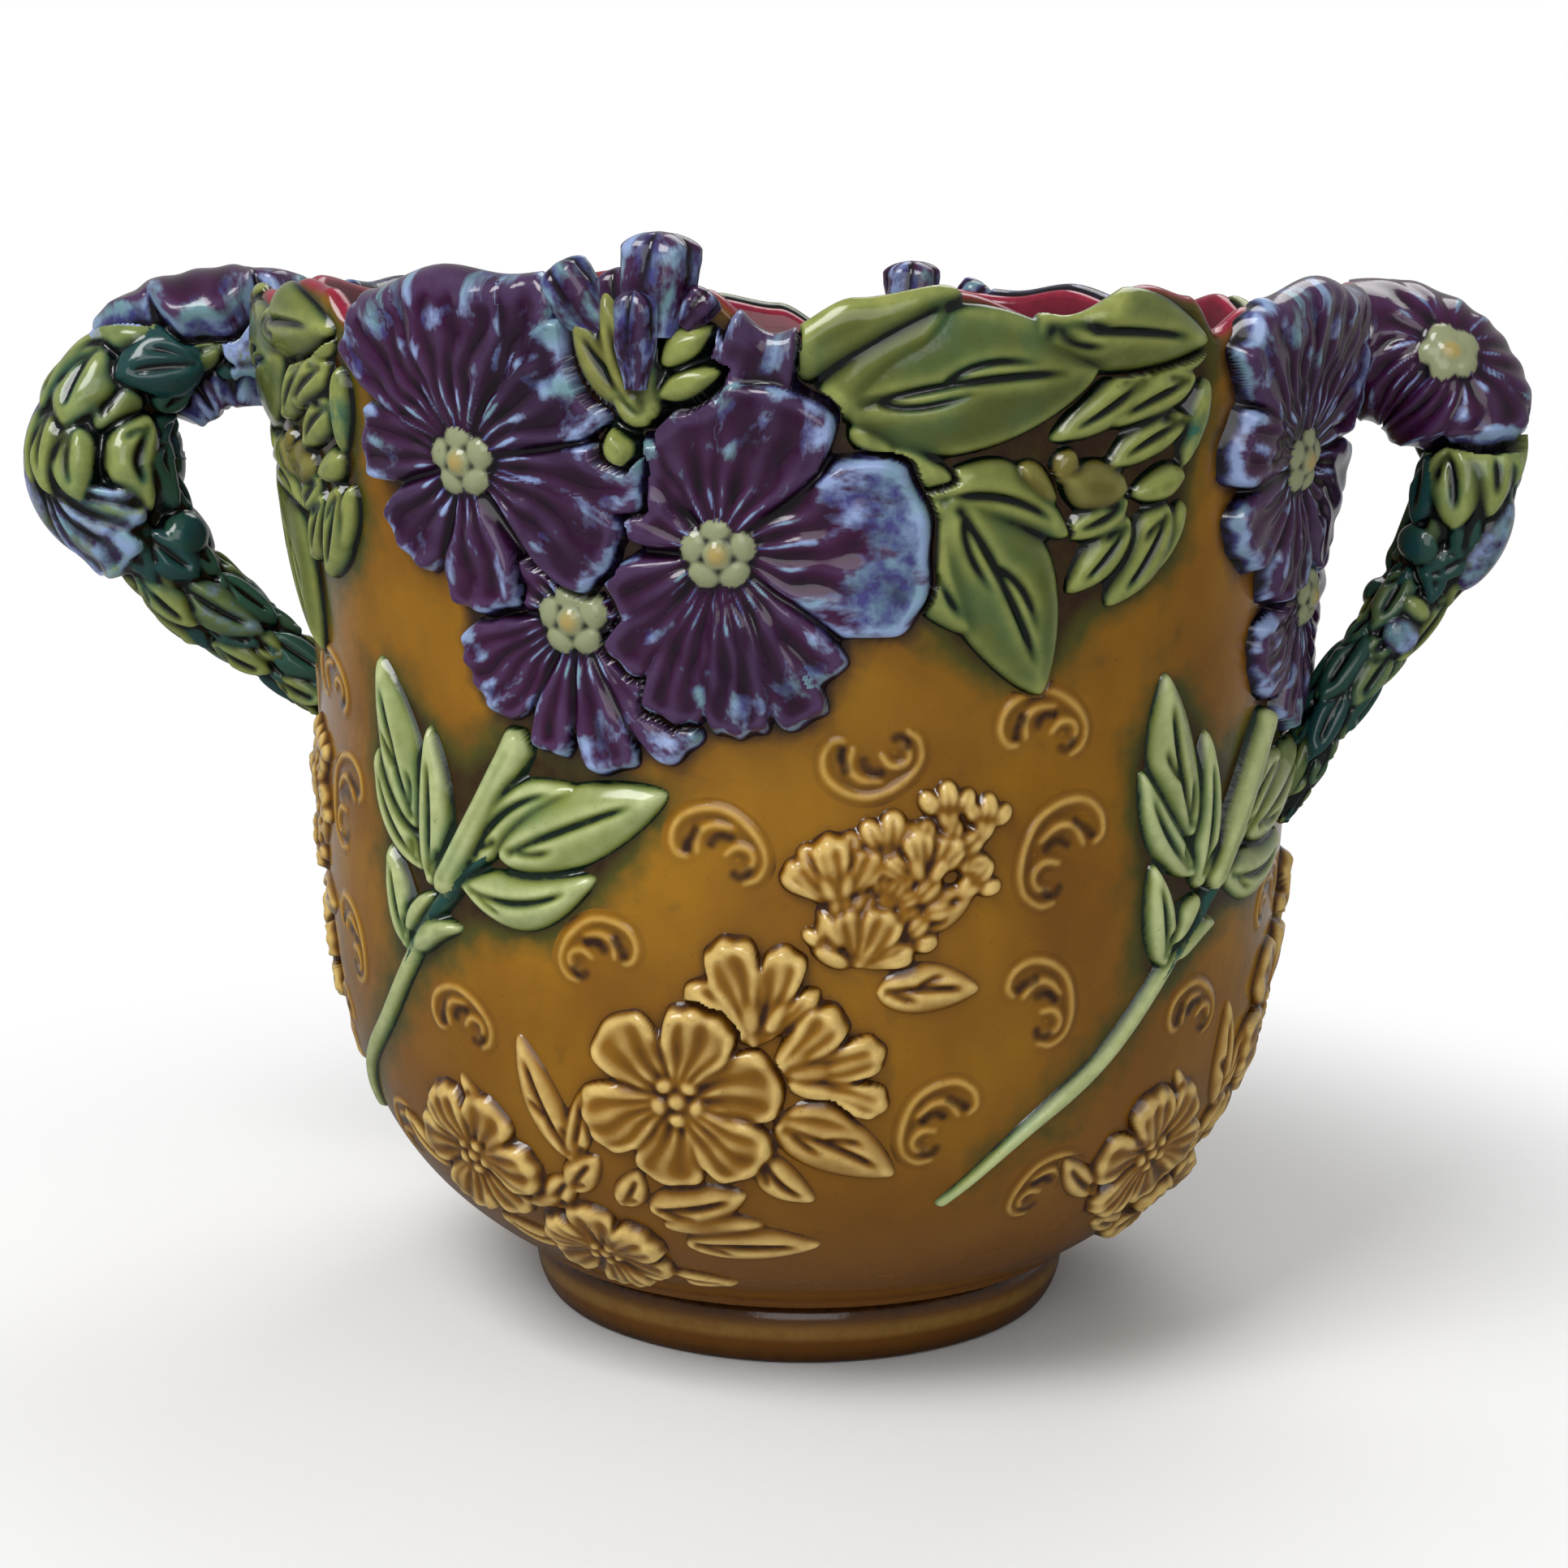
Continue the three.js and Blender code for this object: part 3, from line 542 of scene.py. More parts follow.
LEAF_CLUSTER = [
    ((40.2, 232.5), (30.6, 218.5), 4.8, 0.8, 0.9, 1, 0, 0.1),
    ((45.7, 231.4), (36.0, 221.5), 5.0, -0.8, 1.2, 1, 0.1, 0),
    ((45.6, 223.0), (36.6, 212.5), 4.8, -1.0, 0.8, 1, 0.1, 0.1),
    ((39.2, 208.4), (31.2, 211.8), 5.6, 1.2, 0.9, 0, 0, 0.3),
    ((39.6, 206.0), (32.6, 199.0), 4.4, 0.6, 0.6, 1, 0, 0),
    ((39.9, 202.5), (33.8, 187.0), 5.0, 0.8, 0.9, 1, 0, 0),
    ((44.4, 205.0), (38.6, 184.0), 6.2, 1.2, 1.2, 1, 0, 0),
    ((46.0, 211.5), (39.8, 207.0), 4.0, 0.5, 0.8, 0, 0, 0),
    ((40.6, 234.0), (36.0, 239.0), 3.8, 0.0, 0.5, 0, 0, 0),
    ((47.4, 231), (45.8, 212), 3.8, 0.0, 0.6, 0, 0.6, 0),
    ((33.0, 216.5), (30.8, 209.5), 3.4, 0.4, 0.4, 0, 0, 0.35),
    ((46.6, 205.5), (43.6, 189.5), 3.4, 0.0, 0.4, 0, 0.3, 0),
    ((46.8, 238.0), (42.6, 233.2), 3.6, 0.3, 0.5, 0, 0.1, 0),
]
STEM_LEAVES = [
    ((-36.8, 131), (-42.6, 168), 7.4, 1.2, 0.9, 2, 0, 0),
    ((-35.0, 119), (-34.8, 154), 4.8, -1.6, 1.2, 1, 0, 0),
    ((-24.8, 128), (-5.8, 144.8), 8.0, 0.6, 1.3, 1, 0, 0),
    ((-28.6, 126), (-15.2, 145.0), 5.4, 4.2, 0.8, 1, 0, 0),
    ((-30.2, 120.5), (-13.6, 125.5), 6.2, -4.0, 0.9, 1, 0, 0),
    ((-39.2, 107.5), (-34.6, 117.5), 3.0, 0.6, 0.9, 0, 0, 0),
    ((-36.0, 122), (-44.8, 147), 4.6, 2.6, 0.7, 1, 0, 0),
    ((-38.0, 103.5), (-31.0, 110.5), 3.2, 2.4, 0.8, 0, 0, 0),
    ((-40, 103), (-42.4, 126), 4.4, -0.6, 1.0, 1, 0, 0),
]
STEM_ROD = ((-33.2, 118.5), (-21.4, 156), 3.8, -0.6)
STEM_LINE = [
    (-26.5, 128), (-31.5, 119.5), (-36.5, 109), (-40.5, 99), (-47, 84), (-56.5, 68), (-63.5, 53),
]

# ---------------------------------------------------------------- the low ochre relief
OCHRE_FLOWERS = [
    # place, size, turn
    ((-5.2, 78.2), 1.0, 0),
    ((-34.6, 56), 0.82, 40),
    ((-19.2, 35.4), 0.72, 75),
]
OCHRE_RING = 4.3  # radius of the beads round a low flower's middle
OCHRE_PETALS = [
    (134, 23, 33, 0.3, 0, 3), (72, 22, 33, 1.1, 0, 4), (14, 23, 34, 0.4, 0, 3),
    (-44, 23, 33, 1.2, 0, 4), (-100, 22, 33, 0.3, 0, 3), (-160, 23, 34, 0.9, 0, 4),
]
OCHRE_LEAVES = [
    ((-18.8, 60), (-24.2, 88.5), 5.0, 0.8, 0.4, 2, 0, 0),
    ((-19.2, 60), (-16.2, 78.5), 3.2, -0.6, 0.3, 1, 0, 0),
    ((-20.5, 52), (-15.5, 62), 4.0, 0.6, 0.5, 1, 0, 0),
    ((-14, 50), (-10.5, 60), 3.6, -0.6, 0.4, 1, 0, 0),
    ((-24.5, 46), (-19.5, 56), 4.2, 0.6, 0.3, 1, 0, 0),
    ((5.2, 73.5), (18.4, 61), 7.0, 1.4, 0.5, 2, 0, 0),
    ((5.6, 74.5), (15, 70), 5.0, 2.2, 0.3, 1, 0, 0),
    ((3.5, 66), (9.6, 54.5), 4.6, -1.6, 0.3, 1, 0, 0),
    ((-10.2, 50), (2.0, 56), 6.0, -0.8, 0.5, 1, 0, 0),
    ((-6.6, 41), (10.8, 42.5), 6.0, 0.6, 0.4, 1, 0, 0),
    ((-9, 46), (4, 48), 4.2, 0.8, 0.2, 0, 0, 0),
    ((-27.2, 60), (-34, 76), 3.6, 0.8, 0.3, 1, 0, 0),
    ((-42, 48), (-50, 60), 3.8, 0.8, 0.3, 1, 0, 0),
    ((-28, 46), (-22, 50), 3.0, 0.3, 0.2, 0, 0, 0),
    ((-27, 33), (-38, 38), 3.6, 0.5, 0.3, 1, 0, 0),
    ((-12, 30), (-1, 28), 3.4, -0.5, 0.3, 1, 0, 0),
]
# Side-on flowers: the foot of the fan, the lobes as (direction, reach, half spread, layer), the
# beads of the calyx as (direction, distance, half width, half length)
OCHRE_FANS = [
    ((3.2, 90.5), [(134, 20, 20, 0.2), (72, 24, 18, 0.4), (104, 25, 21, 1.0), (46, 19, 12, 0.2)],
     [(97, 9, 2.4, 5.0), (60, 10, 1.8, 5.0), (132, 8, 2.0, 4.4)]),
    ((4.6, 84.5), [(46, 21, 22, 1.0), (14, 25, 17, 0.6), (-14, 26, 15, 0.3)],
     [(40, 10, 2.4, 5.4), (12, 10, 2.6, 5.8), (-14, 10, 2.4, 5.8)]),
    ((13.4, 108.5), [(62, 15, 28, 0.8), (98, 14, 24, 0.3), (20, 13, 22, 0.2)],
     [(120, 10, 1.8, 4.2), (150, 6, 1.8, 3.6)]),
    ((11.8, 121.5), [(140, 15, 22, 0.3), (100, 16, 22, 0.8), (60, 15, 22, 0.3)],
     [(120, 6, 1.8, 4), (80, 6, 1.8, 4)]),
    ((20.2, 125.0), [(100, 14, 22, 0.7), (60, 14, 22, 0.3), (140, 12, 22, 0.2)],
     [(110, 6, 1.8, 3.6), (60, 6, 1.8, 3.6)]),
]
OCHRE_STEM_LEAVES = [
    ((15.6, 103.2), (26.6, 103.2), 5.4, 0.8, 0.4, 2, 0, 0),
    ((19.6, 117), (25.8, 125.5), 4.4, 0.5, 0.3, 1, 0, 0),
]
# Buds: foot, tip and width of the head
OCHRE_BUDS = [
    ((11.2, 124.0), (8.2, 134.0), 10.0), ((12.2, 127.5), (12.8, 136.6), 9.0),
    ((16.6, 131.0), (16.9, 140.5), 10.0), ((22.5, 138.0), (22.4, 147.5), 7.5),
    ((12.0, 115.5), (14.4, 123.6), 11.0), ((15.8, 121.0), (18.0, 128.5), 8.0),
    ((17.4, 119.0), (21.6, 128), 9.0), ((21.8, 130), (25.9, 136.5), 9.0),
    ((19.6, 131.5), (20.4, 139), 8.0), ((26.2, 136), (26.9, 144.5), 7.0),
    ((10.9, 112.0), (10.0, 119), 6.0), ((17.0, 112.5), (20.5, 119.5), 7.5),
    ((24.0, 124.0), (27.2, 130.5), 7.0),
]

# ---------------------------------------------------------------- the scrolls on the ground
# In mm about the scroll's middle: an outer sweep and two hooks inside it.
SCROLL_LINES = [
    [(-6.6, -2.6), (-8.6, -2.2), (-9.9, 1.2), (-8.2, 5.3), (-4, 7.5), (1.4, 7.4), (6.1, 4.3),
     (9.2, 0), (9.9, -3.6), (8.2, -7.0), (5.6, -7.9)],
    [(-4.4, -1.6), (-3.9, 2.4), (-1.2, 4.2), (3.2, 3.6)],
    [(1.6, -1.9), (4.1, -0.2), (7.0, -1.2), (7.4, -3.6), (5.5, -5.2)],
]
SCROLL_PITS = [
    [(-6.6, -1.0), (-6.2, 0.6), (-5.2, 1.9), (-4.6, 3.0)],
    [(-1.4, 0.2), (-0.4, 1.5), (1.0, 2.1), (2.6, 1.8)],
    [(3.4, -6.0), (4.4, -6.6), (5.6, -6.2), (6.2, -5.0)],
]
PIT_HALF = 1.15
# place, turn in degrees, mirrored, size
SCROLLS = [
    ((-0.6, 134.5), 0, 1, 1.0), ((-13.6, 110), 0, -1, 0.9), ((14.6, 152.5), 165, -1, 1.0),
    ((32.6, 159), 12, 1, 1.0), ((35.4, 132), 28, -1, 1.2), ((34.0, 99), -35, 1, 1.0),
    ((23.0, 73.5), 32, -1, 1.0), ((-32.6, 89.5), 10, 1, 0.9), ((38.5, 54), 20, -1, 0.9),
]


def leaves(carrier, rows, shift, **settings):
    lobes = []
    for start, end, half, bow, layer, veins, second, third in rows:
        ends = ((place[0] + shift, place[1]) for place in (start, end))
        glazes = {"second": second, "third": third}
        lobes.append(leaf(carrier, *ends, half, bow, layer, veins=veins, **glazes, **settings))
    return lobes


def stem_spray(carrier, shift, settings):
    lobes = leaves(carrier, STEM_LEAVES, shift, rise=settings.leaf_rise / MILLIMETRE)
    half_width = settings.stem_width / MILLIMETRE / 2
    start, end, half, bow = STEM_ROD
    ends = ((place[0] + shift, place[1]) for place in (start, end))
    lobes.append(leaf(carrier, *ends, half, bow, 1.3, rise=3.0, veins=0, rod=True))
    middle = (STEM_LINE[3][0] + shift, STEM_LINE[3][1])
    points = [carrier.span(middle, (angle + shift, height)) for angle, height in STEM_LINE]
    lobes.append(line(middle, [points], half_width, 2.4))
    # where the leaves spring from it, the stem is covered with the darker teal
    lobes.append(line(middle, [points[:4]], 0.9 * half_width, 3.0, second=1.0))
    return lobes


def ochre_flowers(carrier, shift, settings):
    rise = settings.relief_rise / MILLIMETRE
    lobes = leaves(carrier, OCHRE_LEAVES, shift, rise=1.6, fall=SOFT_FALL)
    for (angle, height), size, turn in OCHRE_FLOWERS:
        place = (angle + shift, height)
        for direction, reach, spread, layer, wash, ribs in OCHRE_PETALS:
            lobes.append(
                petal(
                    place, direction + turn, reach * size, spread, layer, wash, ribs, rise, 0.7,
                    SOFT_FALL, scallop=0.02, taper=0.2,
                )
            )
        lobes.append(bead(place, 2.4 * size, 2.4 * size, 0, 0.9, 1.7))
        for k in range(CORE_BEADS):
            toward = math.radians(72 * k + 54)
            ring = OCHRE_RING * size
            here = moved(carrier, place, ring * math.cos(toward), ring * math.sin(toward))
            lobes.append(bead(here, 2.3 * size, 1.9 * size, math.degrees(toward) - 90, 0.9, 1.7))
    return lobes


def ochre_buds(carrier, shift, settings):
    rise = settings.relief_rise / MILLIMETRE
    lobes = leaves(carrier, OCHRE_STEM_LEAVES, shift, rise=1.6, fall=SOFT_FALL)
    for (angle, height), fan, calyx in OCHRE_FANS:
        place = (angle + shift, height)
        for direction, reach, spread, layer in fan:
            lobes.append(
                petal(
                    place, direction, reach, spread, layer, 0, 3, 1.3 * rise, 0.7, SOFT_FALL,
                    taper=0.24,
                )
            )
        for direction, distance, wide, long in calyx:
            toward = math.radians(direction)
            here = moved(carrier, place, distance * math.cos(toward), distance * math.sin(toward))
            lobes.append(bead(here, wide, long, direction - 90, 1.2, 1.8))
    for foot, tip, width in OCHRE_BUDS:
        foot, tip = ((place[0] + shift, place[1]) for place in (foot, tip))
        dx, dy = carrier.span(foot, tip)
        toward = math.degrees(math.atan2(dy, dx))
        length = math.hypot(dx, dy)
        # three petals of the head, then two leaves at its foot: lean, how far out along the
        # bud, half width, half length, rise and slit
        head = [(step, 0.72, 0.66 * width * size, 0.9 * width * size, 2.2, 0.7)
                for step, size in ((-34, 0.42), (34, 0.42), (0, 0.5))]
        for step, share, wide, long, height, slit in head + [
            (-20, 0.22, 1.7, 3.4, 1.7, 0.0), (20, 0.22, 1.7, 3.4, 1.7, 0.0),
        ]:
            lean, out = math.radians(toward + step), share * length
            here = moved(carrier, foot, out * math.cos(lean), out * math.sin(lean))
            turn = toward + step - 90
            lobes.append(bead(here, wide, long, turn, 0.3, height, slit=slit, fall=SOFT_FALL))
    return lobes


def scrolls(shift):
    lobes = []
    for (angle, height), turn, mirror, size in SCROLLS:
        toward = math.radians(turn)
        spin = lambda x, y: (
            size * (mirror * x * math.cos(toward) - y * math.sin(toward)),
            size * (mirror * x * math.sin(toward) + y * math.cos(toward)),
        )
        paths = [[spin(x, y) for x, y in path] for path in SCROLL_LINES]
        pits = [[spin(x, y) for x, y in path] for path in SCROLL_PITS]
        lobes.append(line((angle + shift, height), paths, 0.7, 0.75, 0.12, pits))
    return lobes


# ---------------------------------------------------------------- the relief as a whole
RIM_BUD_LEAVES = [
    # green stalks and calyx under the buds, laid on the wall
    ((-5.4, 222), (-6.8, 243), 4.2, 0.5, 2.0, 0, 0.6, 0),
    ((-6.2, 224), (-12.6, 243), 5.4, 1.0, 2.6, 1, 0, 0.2),
    ((-6.4, 224), (-9.4, 247), 4.2, 0.6, 3.4, 1, 0, 0.2),
    ((-6.0, 221.5), (-9.0, 229), 3.4, 0.0, 3.2, 1, 0, 0),
    ((-5.0, 227), (0.6, 232), 3.4, 0.5, 2.4, 0, 0.1, 0),
    ((-4.6, 233), (-0.4, 240), 3.4, 0.3, 2.4, 0, 0.1, 0),
    ((-8.6, 213), (-9.4, 220.5), 3.2, 0.0, 3.0, 0, 0, 0),
]
GREEN_PIECES = ("rim_leaf", "hanging_leaf", "leaf_cluster", "stem_spray")
_relief = {}  # the carriers that are made already


def wall_carrier(settings):
    """The wall with all that lies on it, from the uppermost pieces to the lowest."""
    if "wall" in _relief:
        return _relief["wall"]
    columns = round(2 * math.pi * BELLY_RADIUS / GRID_STEP)
    turns = np.arange(columns) * 360 / columns
    levels = np.arange(LIP_LEVEL - 1, RIM_HEIGHT + 14, GRID_STEP)
    wall = Carrier(turns, levels, wall_radius(np.minimum(levels, RIM_HEIGHT)), on_wall)
    steps = np.hypot(1, wall_slope(np.minimum(levels, RIM_HEIGHT))) * GRID_STEP
    wall.arc = np.concatenate([[0], np.cumsum(steps[1:])])
    past = levels[:, None] - (rim_edge(turns) + RIM_CROWN - WALL_THICKNESS / 2)[None, :]
    wall.limit = ((RIM_WRAP - past) * 1.4).astype(np.float32)
    sides = (("front", 0), ("back", 180))

    def flowers_of(name, places):
        (angle, height), petals, layer = FLOWER_PLACES[name]
        for side, shift in places:
            rise = settings.petal_rise / MILLIMETRE
            place = (angle + shift, height)
            wall.lay(f"{name}_{side}", flower(wall, place, petals, layer, rise=rise))

    everywhere = QUARTERS.items()
    for side, shift in sides:
        wall.lay(f"rim_buds_{side}", leaves(wall, RIM_BUD_LEAVES, shift, rise=3.0))
    flowers_of("blossom_left", everywhere)
    flowers_of("blossom_centre", sides)
    flowers_of("blossom_low", everywhere)
    leaf_rise = settings.leaf_rise / MILLIMETRE
    for name, rows in (
        ("rim_leaf", RIM_LEAF), ("hanging_leaf", HANGING_LEAF), ("leaf_cluster", LEAF_CLUSTER),
    ):
        for side, shift in everywhere:
            wall.lay(f"{name}_{side}", leaves(wall, rows, shift, rise=leaf_rise))
    for name, make in (
        ("stem_spray", stem_spray), ("ochre_blossoms", ochre_flowers), ("ochre_buds", ochre_buds),
    ):
        for side, shift in everywhere:
            wall.lay(f"{name}_{side}", make(wall, shift, settings))
    for side, shift in everywhere:
        wall.lay(f"scrolls_{side}", scrolls(shift))
    wall.settle()
    _relief["wall"] = wall
    return wall


# The garland: rows of pointed leaves that lie over each other like scales, towards its tail.
GARLAND_CORE = 0.64  # radius of the stalk under the leaves, over the half thickness
GARLAND_ROUND = 5
HANDLE_STEPS = 60  # points between two of the handle's path
ROOT_DEPTH = 0.55  # where the handle's ends stop, as a share of the wall's thickness
BOX_MARGIN = 0.4  # mm that the handles keep from the side of the object's box
HANDLE_BLOSSOM_SPAN = 2.0  # the path's point at which the blossom sits
HANDLE_BLOSSOM_TURN = -110
# The larger leaves: from (turn, share of the length) to (turn, share), half width over the
# half thickness, blue, teal
GARLAND_LEAVES = [
    ((112, 0.235), (148, 0.30), 0.36, 0, 0.2), ((62, 0.19), (92, 0.32), 0.5, 0, 0.9),
    ((170, 0.30), (138, 0.40), 0.42, 0, 0), ((128, 0.30), (104, 0.41), 0.42, 0, 0),
    ((40, 0.345), (48, 0.54), 0.3, 0, 0.1), ((14, 0.36), (22, 0.56), 0.28, 0, 0.5),
    ((158, 0.385), (150, 0.455), 0.26, 0, 0), ((128, 0.39), (124, 0.465), 0.26, 0, 0),
    ((98, 0.40), (96, 0.48), 0.26, 0, 0.1), ((72, 0.56), (58, 0.66), 0.38, 0, 0.9),
    ((120, 0.60), (112, 0.71), 0.36, 0, 0), ((160, 0.62), (150, 0.73), 0.36, 0, 0),
    ((84, 0.64), (62, 0.79), 0.42, 0.45, 0.3), ((30, 0.68), (30, 0.80), 0.4, 0, 0.5),
    ((132, 0.74), (112, 0.84), 0.36, 0, 0), ((60, 0.80), (52, 0.92), 0.46, 0, 0.6),
    ((120, 0.85), (100, 0.94), 0.36, 0, 0),
    ((-60, 0.33), (-82, 0.44), 0.5, 0, 0.1), ((-108, 0.30), (-122, 0.42), 0.4, 0, 0),
    ((-150, 0.24), (-150, 0.38), 0.42, 0, 0), ((-22, 0.34), (-30, 0.46), 0.4, 0, 0.9),
    ((-120, 0.45), (-82, 0.55), 0.32, 0.4, 0.8), ((-78, 0.47), (-112, 0.58), 0.3, 0.1, 0.9),
    ((-52, 0.55), (-64, 0.66), 0.48, 0, 0.3), ((-150, 0.54), (-142, 0.68), 0.36, 0, 0),
    ((-48, 0.67), (-60, 0.80), 0.5, 0, 0.7), ((-118, 0.67), (-120, 0.78), 0.44, 0, 0.2),
    ((-160, 0.70), (-150, 0.82), 0.42, 0, 0.7), ((-88, 0.76), (-98, 0.88), 0.44, 0, 0.9),
    ((-50, 0.84), (-62, 0.97), 0.5, 0, 0),
]
# Buds: (turn, share of the length), half width, half length over the half thickness, blue, teal
GARLAND_BUDS = [
    ((162, 0.265), 0.52, 0.5, 0.8, 0.0), ((30, 0.60), 0.4, 0.42, 0.0, 1.0),
    ((-165, 0.46), 0.55, 0.9, 0.9, 0.0), ((-46, 0.49), 0.44, 0.5, 0.1, 1.0),
    ((-100, 0.60), 0.34, 0.34, 0.0, 0.1), ((-112, 0.645), 0.42, 0.5, 1.0, 0.0),
]
# Petals on the garland, at (turn, share of the length): the big flower's far petals over the
# root, and the hanging bell on the outer side. Each: direction, reach over the half thickness,
# half spread, layer over the half thickness.
GARLAND_PETALS = [
    ((60, 0.02), [(70, 1.9, 26, 0.10), (20, 1.6, 26, 0.06), (110, 1.8, 24, 0.14)]),
    ((130, 0.03), [(90, 2.0, 26, 0.12), (140, 1.6, 24, 0.08)]),
    ((-60, 0.01), [(90, 1.6, 30, 0.06), (150, 1.5, 26, 0.03), (40, 1.5, 26, 0.03)]),
    ((132, 0.415), [(62, 1.35, 20, 0.04), (122, 1.3, 20, 0.06), (92, 1.5, 24, 0.09)]),
]


def handle_carrier(side):
    if side in _relief:
        return _relief[side]
    angle = HANDLE_ANGLES[side]
    forward = -1 if side == "right" else 1
    rows = np.array(HANDLE_PATHS[side], float)
    heights = RIM_HEIGHT - rows[:, 1]
    middles = around(angle + forward * rows[:, 3], wall_radius(heights) + rows[:, 0], heights)
    knots, path = spline(middles, HANDLE_STEPS)
    _, halves = spline(np.stack([np.arange(len(rows)), rows[:, 2]], 1), HANDLE_STEPS)
    along = np.gradient(path, axis=0)
    along /= np.linalg.norm(along, axis=1)[:, None]
    across = around(angle + 90, 1.0, 0.0)
    inward = np.cross(across, along)
    inward /= np.linalg.norm(inward, axis=1)[:, None]
    sideways = np.cross(along, inward)
    gone = np.concatenate([[0], np.cumsum(np.linalg.norm(np.diff(path, axis=0), axis=1))])
    levels = np.arange(0, gone[-1], GRID_STEP)
    at = lambda values: np.stack(
        [np.interp(levels, gone, column) for column in np.atleast_2d(values.T)], -1
    )
    middle, inner, flank = at(path), at(inward), at(sideways)
    core = at(halves[:, 1])[:, 0] * GARLAND_CORE

    def place(turn, level, lift):
        count = np.arange(len(levels))
        row = np.interp(level, levels, count)
        pick = lambda values: np.stack([np.interp(row, count, c) for c in values.T], -1)
        turned = np.radians(turn)
        reach = np.interp(level, levels, core) + lift
        points = pick(middle) + reach[..., None] * (
            np.cos(turned)[..., None] * pick(inner) + np.sin(turned)[..., None] * pick(flank)
        )
        # its ends stop inside the wall's thickness
        innermost = wall_radius(np.minimum(points[..., 2], RIM_HEIGHT)) - ROOT_DEPTH * WALL_THICKNESS
        outside = np.maximum(1, innermost / np.hypot(points[..., 0], points[..., 1]))
        points[..., :2] *= outside[..., None]
        return points

    columns = round(2 * math.pi * core.max() / GRID_STEP)
    handle = Carrier(np.arange(columns) * 360 / columns, levels, core, place)
    handle.half = core / GARLAND_CORE
    # room up to the object's own box, and a little past the garland's thickness
    edge = place(*np.meshgrid(handle.turns, levels), 0.0)
    out = place(*np.meshgrid(handle.turns, levels), 1.0) - edge
    outward = -forward
    widest = max(abs(corner.x) for corner in cad_bounds) / MILLIMETRE - BOX_MARGIN
    room = widest - outward * (edge[..., 0] + axis.x / MILLIMETRE)
    room = room / np.maximum(outward * out[..., 0], 0.05)
    handle.limit = room
    blossom_at = float(np.interp(HANDLE_BLOSSOM_SPAN, knots, gone))
    spot = (HANDLE_BLOSSOM_TURN, blossom_at)
    half_here = np.interp(blossom_at, levels, handle.half)
    blossom = flower(handle, spot, HANDLE_PETALS, half_here * 0.28, 0.56, 2.6, 0.9)
    handle.lay(f"handle_blossom_{side}", blossom)
    handle.limit = np.minimum((1.1 * handle.half - core)[:, None], room)
    handle.lay(f"handle_{side}", garland(handle))
    handle.settle()
    _relief[side] = handle
    return handle


def garland(handle):
    length = handle.levels[-1]
    half_at = lambda level: float(np.interp(level, handle.levels, handle.half))
    lobes = []
    level, row = 4.0, 0
    while level < length - 4:
        half = half_at(level)
        for k in range(GARLAND_ROUND):
            turn = 360 / GARLAND_ROUND * (k + 0.5 * (row % 2)) + 11 * math.sin(3.1 * row + 1.7 * k)
            wide = half * (0.36 + 0.06 * math.sin(2.3 * row + 4.1 * k))
            run = half * (1.15 + 0.2 * math.sin(1.9 * row + 2.7 * k))
            teal = 0.45 + 0.45 * math.sin(2.2 * row + 1.3 * k)
            end = (turn + 16 * math.sin(5.3 * row + k), min(level + run, length - 0.5))
            lobes.append(
                leaf(
                    handle, (turn, level), end, wide, 0, 0, 0.19 * half, 1, 0, teal,
                    lift_tip=0.09 * half,
                )
            )
        level += half * 0.8
        row += 1
    for (turn, start), (end_turn, end), wide, blue, teal in GARLAND_LEAVES:
        half = half_at((start + end) / 2 * length)
        ends = ((turn, start * length), (end_turn, end * length))
        lobes.append(
            leaf(
                handle, *ends, wide * half, 0, 0.1 * half, 0.2 * half, 1, blue, teal,
                lift_tip=0.12 * half,
            )
        )
    for (turn, share), wide, long, blue, teal in GARLAND_BUDS:
        half = half_at(share * length)
        spot = (turn, share * length)
        lobes.append(bead(spot, wide * half, long * half, 0, 0.14 * half, 0.3 * half, blue, teal))
    for (turn, share), petals in GARLAND_PETALS:
        half = half_at(share * length)
        for direction, reach, spread, layer in petals:
            lobes.append(
                petal(
                    (turn, share * length), direction, reach * half, spread, layer * half, 1, 3,
                    0.22 * half, 1.2, least=0.8,
                )
            )
    return lobes


